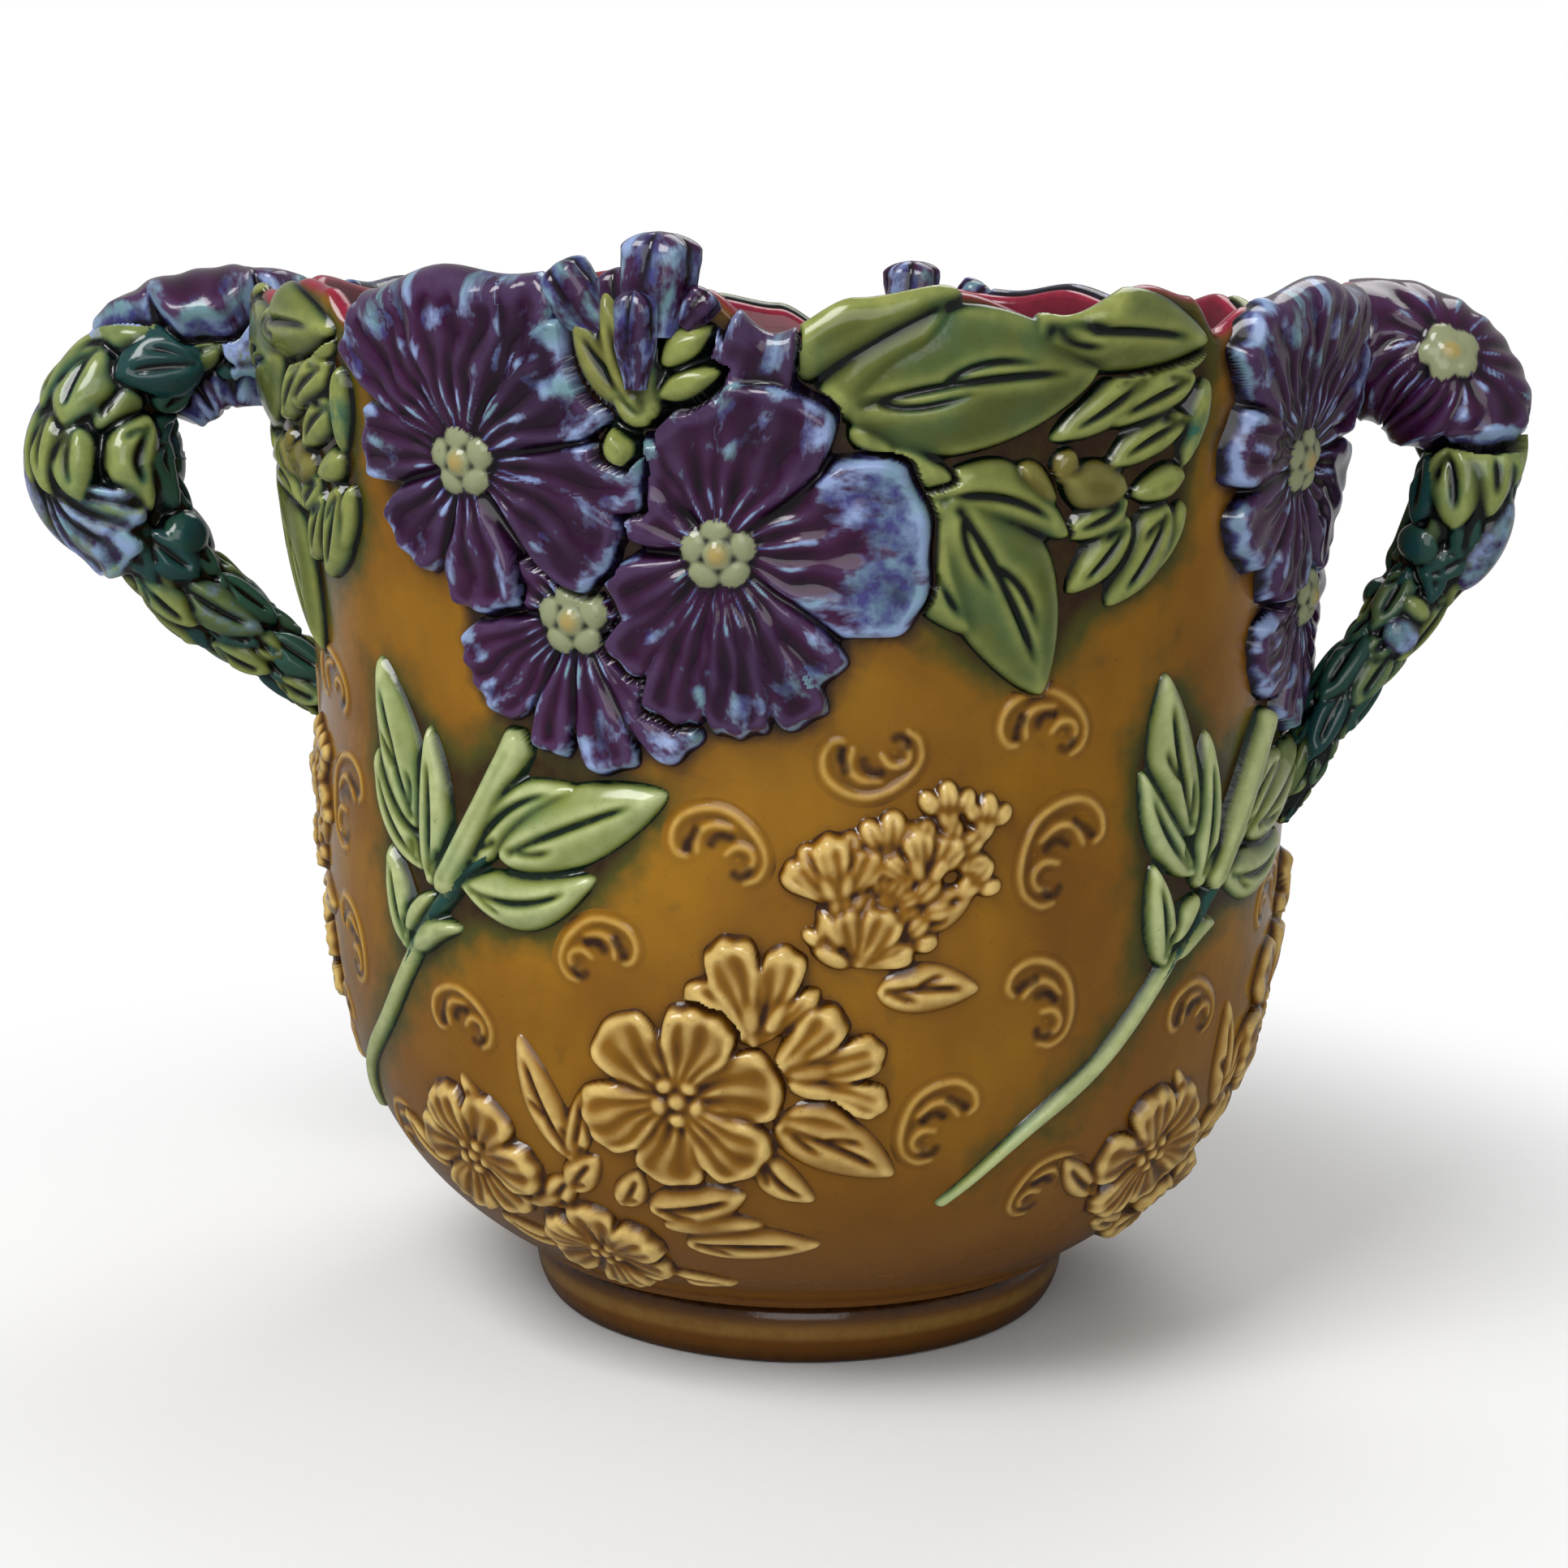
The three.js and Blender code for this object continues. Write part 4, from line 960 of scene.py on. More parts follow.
# ---------------------------------------------------------------- meshes
def new_mesh(name, points, faces, masks, brush, uvs, bleed=None):
    """A mesh from numpy rows, in millimetres about the pot's axis, with its glaze marks."""
    used = np.unique(faces)
    renumber = np.full(len(points), -1)
    renumber[used] = np.arange(len(used))
    faces = renumber[faces]
    points = points[used] * MILLIMETRE + np.array(axis)
    # faces that look inwards give a negative volume, and are turned round
    corners = [points[column] for column in faces.T]
    volume = sum((corners[0] * np.cross(corners[i], corners[i + 1])).sum() for i in (1, 2))
    if volume < 0:
        faces = faces[:, ::-1]
        uvs = uvs[:, ::-1]
    mesh = bpy.data.meshes.new(name)
    mesh.vertices.add(len(points))
    mesh.vertices.foreach_set("co", points.astype(np.float32).ravel())
    mesh.loops.add(faces.size)
    mesh.loops.foreach_set("vertex_index", faces.astype(np.int32).ravel())
    mesh.polygons.add(len(faces))
    mesh.polygons.foreach_set("loop_start", (np.arange(len(faces)) * 4).astype(np.int32))
    mesh.uv_layers.new(name="OFBake").uv.foreach_set("vector", uvs.astype(np.float32).ravel())
    mesh.update()
    mesh.polygons.foreach_set("use_smooth", np.ones(len(faces), bool))
    layer = mesh.attributes.new("glaze_marks", "FLOAT_COLOR", "POINT")
    layer.data.foreach_set("color", masks[used].astype(np.float32).ravel())
    layer = mesh.attributes.new("brush_way", "FLOAT_VECTOR", "POINT")
    layer.data.foreach_set("vector", brush[used].astype(np.float32).ravel())
    if bleed is not None:
        layer = mesh.attributes.new("glaze_bleed", "FLOAT_VECTOR", "POINT")
        layer.data.foreach_set("vector", bleed[used].astype(np.float32).ravel())
    if mesh.validate():
        raise RuntimeError(f"{name} had faces that had to be mended")
    piece = bpy.data.objects.new(name, mesh)
    bpy.context.collection.objects.link(piece)
    return piece


def sheet_faces(keep):
    """Top, underside and side faces of the kept cells; an under point follows all top ones."""
    rows, columns = keep.shape[0] + 1, keep.shape[1] + 1
    index = np.arange(rows * columns).reshape(rows, columns)
    corners = np.stack([index[:-1, :-1], index[:-1, 1:], index[1:, 1:], index[1:, :-1]], -1)
    padded = np.pad(keep, 1)
    under = rows * columns
    faces = [corners[keep], corners[keep][:, ::-1] + under]
    beside = (padded[:-2, 1:-1], padded[1:-1, 2:], padded[2:, 1:-1], padded[1:-1, :-2])
    for side, neighbour in enumerate(beside):
        edge = corners[keep & ~neighbour]
        a, b = edge[:, side], edge[:, (side + 1) % 4]
        faces.append(np.stack([b, a, a + under, b + under], -1))
    return faces


def relief_piece(carrier, name, piece_name=None):
    rows, columns, lift, keep, marks = carrier.pieces[name]
    cells = keep[:-1, :-1] | keep[:-1, 1:] | keep[1:, 1:] | keep[1:, :-1]
    turn = np.broadcast_to(carrier.turns[columns][None, :], lift.shape)
    level = np.broadcast_to(carrier.levels[rows][:, None], lift.shape)
    top = carrier.place(turn, level, np.maximum(lift, UNDERSIDE + 0.1))
    under = carrier.place(turn, level, np.full(lift.shape, UNDERSIDE))
    box = np.ix_(rows, columns)
    pool = np.clip(carrier.pool[box] + marks[..., 2], 0, 1)
    masks = np.stack([carrier.ridge[box], pool, marks[..., 0], marks[..., 1]], -1)
    points = np.concatenate([top.reshape(-1, 3), under.reshape(-1, 3)])
    faces = sheet_faces(cells)
    # the top fills most of the bake's square, the underside and the edges a strip over it
    v, u = np.meshgrid(*(np.linspace(0, 1, count) for count in lift.shape), indexing="ij")
    flat = np.stack([u.ravel(), v.ravel() * 0.94], -1)
    strip = np.stack([u.ravel(), 0.95 + v.ravel() * 0.05], -1)
    uvs = [flat[faces[0]], strip[faces[1] - lift.size]]
    uvs += [strip[side % lift.size] for side in faces[2:]]
    marks_twice = np.concatenate([masks.reshape(-1, 4)] * 2)
    brush = np.concatenate([marks[..., 3:].reshape(-1, 3)] * 2)
    faces, uvs = np.concatenate(faces), np.concatenate(uvs)
    return new_mesh(piece_name or name, points, faces, marks_twice, brush, uvs)


def ring_faces(rows, columns):
    """Faces of a grid whose columns close on themselves."""
    index = np.arange(rows * columns).reshape(rows, columns)
    after = np.roll(index, -1, axis=1)
    return np.stack([index[:-1], after[:-1], after[1:], index[1:]], -1).reshape(-1, 4)


def ring_uvs(rows, columns):
    u0, v0 = np.meshgrid(np.arange(columns) / columns, np.arange(rows - 1) / (rows - 1))
    du, dv = 1 / columns, 1 / (rows - 1)
    corners = [(u0, v0), (u0 + du, v0), (u0 + du, v0 + dv), (u0, v0 + dv)]
    return np.stack([np.stack(pair, -1).reshape(-1, 2) for pair in corners], 1)


def closed_ring(name, rings, masks, bleeds=None):
    """A turned body: its rings of points run once round its section and end where they began."""
    columns = len(rings[0])
    rows = len(rings) + 1
    faces = ring_faces(rows, columns)
    faces = np.where(faces >= (rows - 1) * columns, faces - (rows - 1) * columns, faces)
    points = np.concatenate(rings)
    brush = np.stack([points[:, 2] * 0.2, points[:, 0] * 0.1, np.zeros(len(points))], -1)
    bleeds = np.zeros_like(points) if bleeds is None else np.concatenate(bleeds)
    uvs = ring_uvs(rows, columns)
    return new_mesh(name, points, faces, np.concatenate(masks), brush, uvs, bleeds)


def finish_piece(piece, material, slot, *nodes):
    piece.data.materials.append(material)
    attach(piece, "root")
    if nodes:
        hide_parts(*nodes)
    return piece


# ---------------------------------------------------------------- glazes
def linear(text):
    """An sRGB hex colour as linear light."""
    channels = (int(text[i : i + 2], 16) / 255 for i in (0, 2, 4))
    light = (c / 12.92 if c <= 0.04045 else ((c + 0.055) / 1.055) ** 2.4 for c in channels)
    return (*light, 1.0)


def add_node(tree, kind, inputs=None, output=None, **settings):
    """Adds a node with its settings and links, and gives the output asked for, or the node."""
    node = tree.nodes.new(kind)
    for name, value in settings.items():
        setattr(node, name, value)
    for name, value in (inputs or {}).items():
        socket = node.inputs[name]
        if isinstance(value, bpy.types.NodeSocket):
            tree.links.new(value, socket)
        else:
            socket.default_value = value
    return node if output is None else node.outputs[output]


# The patterns in the glazes: the size of their features in mm, their detail, whether they lie
# on the piece or along the brush, how they are stretched there, and the colours that need them
GLAZE_PATTERNS = {
    "cloud": (55.0, 4.0, "piece", None, {"base"}),
    "drift": (16.0, 2.0, "piece", None, {"drift", "second_drift"}),
    "streak": (14.0, 3.0, "piece", (1.0, 1.0, 0.26), {"streak"}),
    "wander": (9.0, 3.0, "piece", None, {"green_bleed"}),
    "stroke": (3.4, 3.0, "brush", (0.85, 0.5, 1.0), {"second"}),
    "mottle": (3.4, 3.0, "piece", None, {"base"}),
    "speck": (0.9, 1.0, "piece", None, {"base"}),
}
PATTERN_ROUGHNESS = 0.55
GLAZE_IOR = 1.5  # a lead glass without much lead
WAVE_HEIGHT = 0.0004  # metres, of the faint waviness that the glaze keeps when it sets


def glaze(name, colour, patches, pooling, thin, roughness):
    """Lead glaze over cast earthenware: a coloured glass that levels itself while it runs. It
    is dark where it gathers in hollows and pale where it draws thin over ridges; it is glossy,
    and its surface has a faint waviness of a few millimetres."""
    material = bpy.data.materials.new(name)
    material.use_nodes = True
    tree = material.node_tree
    tree.nodes.clear()
    marks = add_node(tree, "ShaderNodeAttribute", attribute_name="glaze_marks").outputs
    ridge, pool, second = add_node(tree, "ShaderNodeSeparateColor", {0: marks["Color"]}).outputs
    third = marks["Alpha"]
    place = add_node(tree, "ShaderNodeTexCoord", output="Object")
    millimetres = add_node(
        tree, "ShaderNodeVectorMath", {0: place, 1: [1 / MILLIMETRE] * 3}, 0, operation="MULTIPLY"
    )
    brush = add_node(tree, "ShaderNodeAttribute", output="Vector", attribute_name="brush_way")
    pattern = {}
    for key, (size, detail, lies_on, stretch, needed_by) in GLAZE_PATTERNS.items():
        if not needed_by & colour.keys():
            continue
        vector = {"piece": millimetres, "brush": brush}[lies_on]
        if stretch:
            inputs = {0: vector, 1: stretch}
            vector = add_node(tree, "ShaderNodeVectorMath", inputs, 0, operation="MULTIPLY")
        inputs = {"Vector": vector, "Scale": 1 / size, "Detail": detail}
        inputs["Roughness"] = PATTERN_ROUGHNESS
        pattern[key] = add_node(tree, "ShaderNodeTexNoise", inputs, 0)

    # Each layer over the base: its colour, the value that it follows, the range of that value and
    # the share that the layer covers at its two ends, and the mark that the layer is kept to
    layers = [(colour["deep"], pattern["cloud"], (0.38, 0.66), (0.0, 1.0), None)]
    if "drift" in colour:
        # the greens were mixed by hand, and some strokes are bluer
        layers.append((colour["drift"], pattern["drift"], (0.45, 0.68), (0.0, 0.85), None))
    if "streak" in colour:
        # it ran down in long streaks
        layers.append((colour["streak"], pattern["streak"], (0.45, 0.7), (0.0, 0.55), None))
    if "low" in colour:
        # painted shade: the wall darkens towards the foot, broken up by the cloud pattern
        height = add_node(tree, "ShaderNodeSeparateXYZ", {0: millimetres}, 2)
        inputs = {0: pattern["cloud"], 1: 60.0, 2: height}
        height = add_node(tree, "ShaderNodeMath", inputs, 0, operation="MULTIPLY_ADD")
        layers.append((colour["low"], height, (50.0, 115.0), (0.8, 0.0), None))
    # it draws thin over the ridges
    layers.append((colour["light"], pattern["mottle"], (0.3, 0.7), (0.7 * thin, 1.1 * thin), ridge))
    if "second" in colour:
        # brushed on: where it is thin it breaks up into patches along the brush
        inputs = {0: pattern["stroke"], 1: 0.3, 2: 0.7, 3: -patches, 4: patches}
        broken = add_node(tree, "ShaderNodeMapRange", inputs, 0)
        broken = add_node(tree, "ShaderNodeMath", {0: second, 1: broken}, 0, operation="ADD")
        brushed = add_node(tree, "ShaderNodeMapRange", {0: second, 1: 0.02, 2: 0.2}, 0)
        # its thin places are pale, and take on green here and there, from the leaves' glaze
        inputs = {0: ridge, 1: 0.45, 2: pattern["mottle"]}
        pale = add_node(tree, "ShaderNodeMath", inputs, 0, operation="MULTIPLY_ADD")
        pale = add_node(tree, "ShaderNodeMapRange", {0: pale, 1: 0.42, 2: 0.85}, 0)
        inputs = {0: pattern["drift"], 1: 0.44, 2: 0.64, 4: 0.75}
        green = add_node(tree, "ShaderNodeMapRange", inputs, 0)
        inputs = {0: green, 6: colour["second_light"], 7: colour["second_drift"]}
        tone = add_node(tree, "ShaderNodeMix", inputs, 2, data_type="RGBA")
        inputs = {0: pale, 6: colour["second"], 7: tone}
        tone = add_node(tree, "ShaderNodeMix", inputs, 2, data_type="RGBA")
        layers.append((tone, broken, (0.5, 0.9), (0.0, 1.0), brushed))
    if "third" in colour:
        layers.append((colour["third"], third, (0.1, 0.5), (0.0, 1.0), None))
        layers.append((colour["third_full"], third, (0.55, 0.95), (0.0, 1.0), None))
    if "green_bleed" in colour:
        # the neighbours' glazes have run into this one while it was molten
        bleed = add_node(tree, "ShaderNodeAttribute", output="Vector", attribute_name="glaze_bleed")
        green, purple, inside = add_node(tree, "ShaderNodeSeparateXYZ", {0: bleed}).outputs
        inputs = {0: pattern["wander"], 1: 0.3, 2: 0.7, 3: -0.22, 4: 0.22}
        wander = add_node(tree, "ShaderNodeMapRange", inputs, 0)
        for key, neighbour in (("green_bleed", green), ("purple_bleed", purple)):
            run = add_node(tree, "ShaderNodeMath", {0: neighbour, 1: wander}, 0, operation="ADD")
            layers.append((colour[key], run, (0.16, 0.75), (0.0, 0.9), None))
        layers.append((colour["inside"], inside, (0.0, 1.0), (0.0, 1.0), None))
        layers.append((colour["lip"], pattern["mottle"], (0.3, 0.7), (0.6, 1.1), third))
    # it gathers unevenly: the mottle breaks up the dark of the hollows
    covers = (0.8 * pooling, 1.2 * pooling)
    layers.append((colour["dark"], pattern["mottle"], (0.3, 0.7), covers, pool))
    layers.append((colour["dark"], pattern["speck"], (0.68, 0.8), (0.0, 0.3), None))

    shade = colour["base"]
    for paint, value, (low, high), (start, end), mask in layers:
        inputs = {0: value, 1: low, 2: high, 3: start, 4: end}
        share = add_node(tree, "ShaderNodeMapRange", inputs, 0)
        if mask is not None:
            share = add_node(tree, "ShaderNodeMath", {0: share, 1: mask}, 0, operation="MULTIPLY")
        shade = add_node(tree, "ShaderNodeMix", {0: share, 6: shade, 7: paint}, 2, data_type="RGBA")
    inputs = {0: pattern["mottle"], 3: roughness * 0.7, 4: roughness * 1.4}
    gloss = add_node(tree, "ShaderNodeMapRange", inputs, 0)
    inputs = {"Height": pattern["mottle"], "Strength": 0.2, "Distance": WAVE_HEIGHT}
    wave = add_node(tree, "ShaderNodeBump", inputs, 0)
    inputs = {"Base Color": shade, "Roughness": gloss, "IOR": GLAZE_IOR, "Normal": wave}
    shader = add_node(tree, "ShaderNodeBsdfPrincipled", inputs, 0)
    add_node(tree, "ShaderNodeOutputMaterial", {0: shader})
    return material


# For each glaze: its name, how far brushed colour breaks up, how dark it pools, how pale it
# thins, and its colours. The colour low is painted shade towards the foot.
GLAZES = {
    "ochre": ("Ochre majolica glaze on earthenware", 0.3, 1.0, 0.8, dict(
        base="8e6208", deep="6e4606", low="583412", streak="784c04", light="d0aa58", dark="2c1504",
        green_bleed="363e10", purple_bleed="32241a", inside="4a0e1a", lip="8e1c36")),
    "straw": ("Thin ochre majolica glaze on sprigged relief", 0.3, 1.0, 0.75, dict(
        base="8c5e0e", deep="724c0a", low="66420e", light="dcbe74", dark="341a06")),
    "aubergine": ("Aubergine majolica glaze brushed with blue", 0.45, 1.0, 0.3, dict(
        base="380f33", deep="220824", light="64507c", dark="0c040e", second="3c3c72",
        second_light="8698c0", second_drift="568078", third="868c6a", third_full="a88636")),
    "olive": ("Olive green majolica glaze", 0.3, 1.5, 0.7, dict(
        base="4c521e", deep="3c4418", light="989e56", drift="34502e", dark="030c06", second="184034",
        second_light="2c5c4a", second_drift="2c5c4a", third="5c4410", third_full="5a3410")),
    "light_olive": ("Olive green majolica glaze, thin", 0.3, 1.1, 0.75, dict(
        base="707a38", deep="586428", light="b8c08a", drift="567044", dark="081c10", second="12302c",
        second_light="1e463e", second_drift="1e463e", third="5c4410", third_full="5a3410")),
    "garland": ("Green and lilac majolica glazes on the garland", 0.35, 1.25, 0.65, dict(
        base="4c5524", deep="3a4620", light="98a45e", drift="1e4c40", dark="030808", second="301c48",
        second_light="8c9ecc", second_drift="5c8c84", third="26483a", third_full="163a3c")),
}


# The colours that the settings hold, and the glaze and the palette's colour that each one is
SETTING_COLOURS = {
    "ground_colour": ("ochre", "base"), "inside_colour": ("ochre", "inside"),
    "relief_colour": ("straw", "base"), "petal_colour": ("aubergine", "base"),
    "brushed_colour": ("aubergine", "second_light"), "leaf_colour": ("olive", "base"),
    "stem_colour": ("light_olive", "base"), "garland_colour": ("garland", "base"),
}


def glaze_for(settings, key):
    """The material of one glaze, made once."""
    name, patches, pooling, thin, palette = GLAZES[key]
    if name in bpy.data.materials:
        return bpy.data.materials[name]
    colour = {part: linear(value) for part, value in palette.items()}
    for setting, (of_glaze, part) in SETTING_COLOURS.items():
        if of_glaze == key:
            colour[part] = (*getattr(settings, setting), 1.0)
    return glaze(name, colour, patches, pooling, thin, settings.gloss_roughness)


# ---------------------------------------------------------------- settings
def colour_setting(setting, name, description):
    of_glaze, part = SETTING_COLOURS[setting]
    return FloatVectorProperty(
        name=name, description=description, subtype="COLOR",
        default=linear(GLAZES[of_glaze][4][part])[:3], min=0.0, max=1.0,
    )


class JardiniereSettings(bpy.types.PropertyGroup):
    petal_rise: FloatProperty(
        name="Petal rise", description="How far the large petals stand out from the wall",
        default=0.0032, min=0.001, max=0.004, unit="LENGTH",
    )
    leaf_rise: FloatProperty(
        name="Leaf rise", description="How far the green leaves stand out from the wall",
        default=0.0026, min=0.001, max=0.004, unit="LENGTH",
    )
    relief_rise: FloatProperty(
        name="Ochre relief rise",
        description="How far the low ochre flowers stand out from the wall",
        default=0.0019, min=0.0005, max=0.003, unit="LENGTH",
    )
    stem_width: FloatProperty(
        name="Stem width", description="Width of the long curved stems",
        default=0.0056, min=0.002, max=0.008, unit="LENGTH",
    )
    ground_colour: colour_setting("ground_colour", "Ground", "Ochre glaze of the pot and its foot")
    inside_colour: colour_setting("inside_colour", "Inside", "Maroon glaze inside the pot")
    relief_colour: colour_setting(
        "relief_colour", "Ochre relief", "Glaze of the low flowers and buds"
    )
    petal_colour: colour_setting("petal_colour", "Petals", "Glaze of the large flowers")
    brushed_colour: colour_setting(
        "brushed_colour", "Brushed blue", "Pale blue brushed over the petals"
    )
    leaf_colour: colour_setting("leaf_colour", "Leaves", "Green glaze of the leaves at the rim")
    stem_colour: colour_setting(
        "stem_colour", "Stems", "Thin green glaze of the stems and their leaves"
    )
    garland_colour: colour_setting("garland_colour", "Garland", "Green glaze of the handles")
    gloss_roughness: FloatProperty(
        name="Glaze roughness", description="How much the glaze scatters its highlights",
        default=0.15, min=0.02, max=1.0,
    )
    lamp_strength: FloatProperty(
        name="Lamp strength", description="Power of the main lamp",
        default=16.5, min=0.0, unit="POWER",
    )
    floor_colour: FloatVectorProperty(
        name="Floor colour", description="Colour of the plain floor", subtype="COLOR",
        default=(0.9, 0.9, 0.9), min=0.0, max=1.0,
    )


def settings_of(context):
    return context.scene.jardiniere


# ---------------------------------------------------------------- operators
class JardinierePot(bpy.types.Operator):
    """Build the hollow pot with its wavy rim"""

    bl_idname = "jardiniere.pot"
    bl_label = "Pot"

    def execute(self, context):
        settings = settings_of(context)
        wall = wall_carrier(settings)
        columns = POT_COLUMNS
        turns = np.arange(columns) * 360 / columns
        half = WALL_THICKNESS / 2
        straight_end = rim_edge(turns) + RIM_CROWN - half
        relief = np.maximum(wall.over, 0)
        # painted shade round the foot of the relief, where the glaze also pools
        beside = np.clip(blurred(relief, 2) * 0.4 + blurred(relief, 7) * 0.12 - 0.05, 0, 0.8)
        green = wall.near(GREEN_PIECES + ("rim_buds",), 6.5)
        purple = wall.near(("blossom",), 2.5)
        column = np.rint(turns / 360 * len(wall.turns)).astype(int) % len(wall.turns)
        rings, masks, bleeds = [], [], []

        def ring(points, level=None, inside=0.0, lip=0.0):
            rings.append(np.broadcast_to(points, (columns, 3)))
            mask, bleed = np.zeros((columns, 4)), np.zeros((columns, 3))
            if level is not None:
                row = np.interp(level, wall.levels, np.arange(len(wall.levels)))
                row = np.clip(np.rint(row).astype(int), 0, len(wall.levels) - 1)
                # painted shade between the leaves, where the glaze also fills the gaps
                gap = 0.85 * smoothstep(0.3, 0.55, green[row, column])
                mask[:, 1] = np.maximum(beside[row, column], gap) * (1 - inside)
                bleed[:, 0] = np.clip(green[row, column] * 2.0, 0, 1) * (1 - inside)
                bleed[:, 1] = np.clip(purple[row, column] * 1.2, 0, 1) * (1 - inside)
            bleed[:, 2], mask[:, 3] = inside, lip
            masks.append(mask)
            bleeds.append(bleed)

        # from the middle of the underside out to the lip over the foot
        foot_line = LIP_RADIUS - 3
        foot_inside = FOOT_RADIUS - FOOT_WALL - 2
        underside = np.linspace(1.0, foot_inside, 12)[:-1], np.linspace(foot_inside, foot_line, 12)
        for radius in np.concatenate(underside):
            ring(around(turns, radius, BODY_BASE))
        for bend in np.linspace(-math.pi / 2, -0.2, 5):
            radius = foot_line + 3 * math.cos(bend)
            height = LIP_LEVEL + (LIP_LEVEL - BODY_BASE) * math.sin(bend)
            ring(around(turns, radius, height), np.full(columns, LIP_LEVEL))
        # up the wall and over the rim
        for share in np.linspace(0, 1, WALL_ROWS) ** 1.15:
            level = LIP_LEVEL + (straight_end - LIP_LEVEL) * share
            ring(on_wall(turns, level, 0.0), level)
        for step in np.linspace(0, 1, RIM_ROWS)[1:]:
            level = straight_end + step * math.pi * half
            over_rim = smoothstep(0.08, 0.45, step)
            lip = over_rim * (1 - 0.4 * smoothstep(0.8, 1, step))
            ring(on_wall(turns, level, 0.0), level, over_rim, lip)
        # down the inside and over the floor
        inner_start = FLOOR_LEVEL + WALL_THICKNESS
        rim_inner = rings[-1]
        start = np.hypot(rim_inner[:, 0], rim_inner[:, 1])
        for share in np.linspace(0, 1, INSIDE_ROWS)[1:]:
            height = rim_inner[:, 2] + (inner_start - rim_inner[:, 2]) * share
            radius = wall_radius(height) - WALL_THICKNESS * np.hypot(1, wall_slope(height))
            radius = start + (radius - start) * smoothstep(0, 0.08, share)
            ring(around(turns, radius, height), None, 1.0, 0.6 * (1 - smoothstep(0.0, 0.04, share)))
        lean = np.hypot(1, wall_slope(inner_start))
        bottom = float(wall_radius(inner_start) - WALL_THICKNESS * lean)
        for bend in np.linspace(0, math.pi / 2, 7)[1:]:
            radius = bottom - WALL_THICKNESS * (1 - math.cos(bend))
            ring(around(turns, radius, inner_start - WALL_THICKNESS * math.sin(bend)), None, 1.0)
        for radius in np.linspace(bottom - WALL_THICKNESS, 1.0, 22)[1:]:
            ring(around(turns, radius, FLOOR_LEVEL), None, 1.0)
        piece = closed_ring("pot_body_glazed", rings, masks, bleeds)
        finish_piece(piece, glaze_for(settings, "ochre"), "body_glaze", "pot_body")
        return {"FINISHED"}


class JardiniereFoot(bpy.types.Operator):
    """Turn the plain foot ring"""

    bl_idname = "jardiniere.foot"
    bl_label = "Foot ring"

    def execute(self, context):
        columns = FOOT_COLUMNS
        turns = np.arange(columns) * 360 / columns
        inner = FOOT_RADIUS - FOOT_WALL
        # radius and height from the inner edge of the resting face, round the outside
        profile = [(inner, 0.6), (inner + 0.6, 0)]
        profile += [(FOOT_RADIUS + out, height) for out, height in FOOT_SIDE]
        profile += [(inner + 0.6, FOOT_HEIGHT), (inner, 15.4), (inner, 8), (inner, 0.6)]
        path = spline(profile, 6)[1]
        path = np.maximum(path, [inner, 0])[:-1]
        waver = 0.12 * np.sin(np.radians(turns * 3)) + 0.08 * np.sin(np.radians(turns * 7 + 40))
        rings, masks = [], []
        for radius, height in path:
            side = smoothstep(FOOT_RADIUS - 3, FOOT_RADIUS, radius)
            rings.append(around(turns, radius + waver * side, np.full(columns, height)))
            mask = np.zeros((columns, 4))
            # painted highlight: a pale band round the middle of the foot's bulge
            mask[:, 0] = 0.25 * smoothstep(6, 8, height) * (1 - smoothstep(9, 12, height)) * side
            # painted shade: dark at the top, in the shadow under the body's lip, and towards the
            # bottom edge
            dark = smoothstep(10, 15, height) + 0.7 * (1 - smoothstep(0.5, 6, height))
            mask[:, 1] = np.clip(dark, 0, 1) * side
            masks.append(mask)
        piece = closed_ring("foot_ring_glazed", rings, masks)
        finish_piece(piece, glaze_for(settings_of(context), "ochre"), "foot_glaze", "foot_ring")
        return {"FINISHED"}


class JardiniereBlossoms(bpy.types.Operator):
    """Lay the purple flowers on the wall"""

    bl_idname = "jardiniere.blossoms"
    bl_label = "Blossoms"

    def execute(self, context):
        settings = settings_of(context)
        wall = wall_carrier(settings)
        material = glaze_for(settings, "aubergine")
        for name in wall.pieces:
            if name.startswith("blossom"):
                piece = relief_piece(wall, name, name + "_glazed")
                finish_piece(piece, material, "purple_glaze", name)
        return {"FINISHED"}


class JardiniereLeaves(bpy.types.Operator):
    """Lay the green leaves and the stems on the wall"""

    bl_idname = "jardiniere.leaves"
    bl_label = "Leaves and stems"

    def execute(self, context):
        settings = settings_of(context)
        wall = wall_carrier(settings)
        for name in wall.pieces:
            if name.startswith(GREEN_PIECES):
                glaze_name = "light_olive" if name.startswith("stem") else "olive"
                piece = relief_piece(wall, name, name + "_glazed")
                finish_piece(piece, glaze_for(settings, glaze_name), "green_glaze", name)
        return {"FINISHED"}


class JardiniereOchreRelief(bpy.types.Operator):
    """Lay the low relief in the ground's own glaze: flowers, buds and scrolls"""

    bl_idname = "jardiniere.ochre_relief"
    bl_label = "Ochre relief"

    def execute(self, context):
        settings = settings_of(context)
        wall = wall_carrier(settings)
        for name in wall.pieces:
            if name.startswith("ochre"):
                piece = relief_piece(wall, name, name + "_glazed")
                finish_piece(piece, glaze_for(settings, "straw"), "straw_glaze", name)
            elif name.startswith("scrolls"):
                finish_piece(relief_piece(wall, name), glaze_for(settings, "ochre"), "body_glaze")
        return {"FINISHED"}


# Buds on the rim: foot (angle, height, how far off the wall), tip, half width, blue share
RIM_BUDS = [
    ((-5.2, 238, 1.5), (-4.9, 258.4, -0.5), 8.6, 0.7),
    ((-9.6, 238, 2.0), (-14.6, 251.5, 0.5), 6.4, 0.75),
    ((-7.4, 236, 0.5), (-8.8, 251.5, -1.0), 6.0, 0.4),
    ((-6.6, 228, 6.0), (-6.4, 247, 5.5), 4.8, 0.7),
    ((-2.6, 240, 2.5), (-0.4, 247, 1.5), 3.8, 0.5),
]


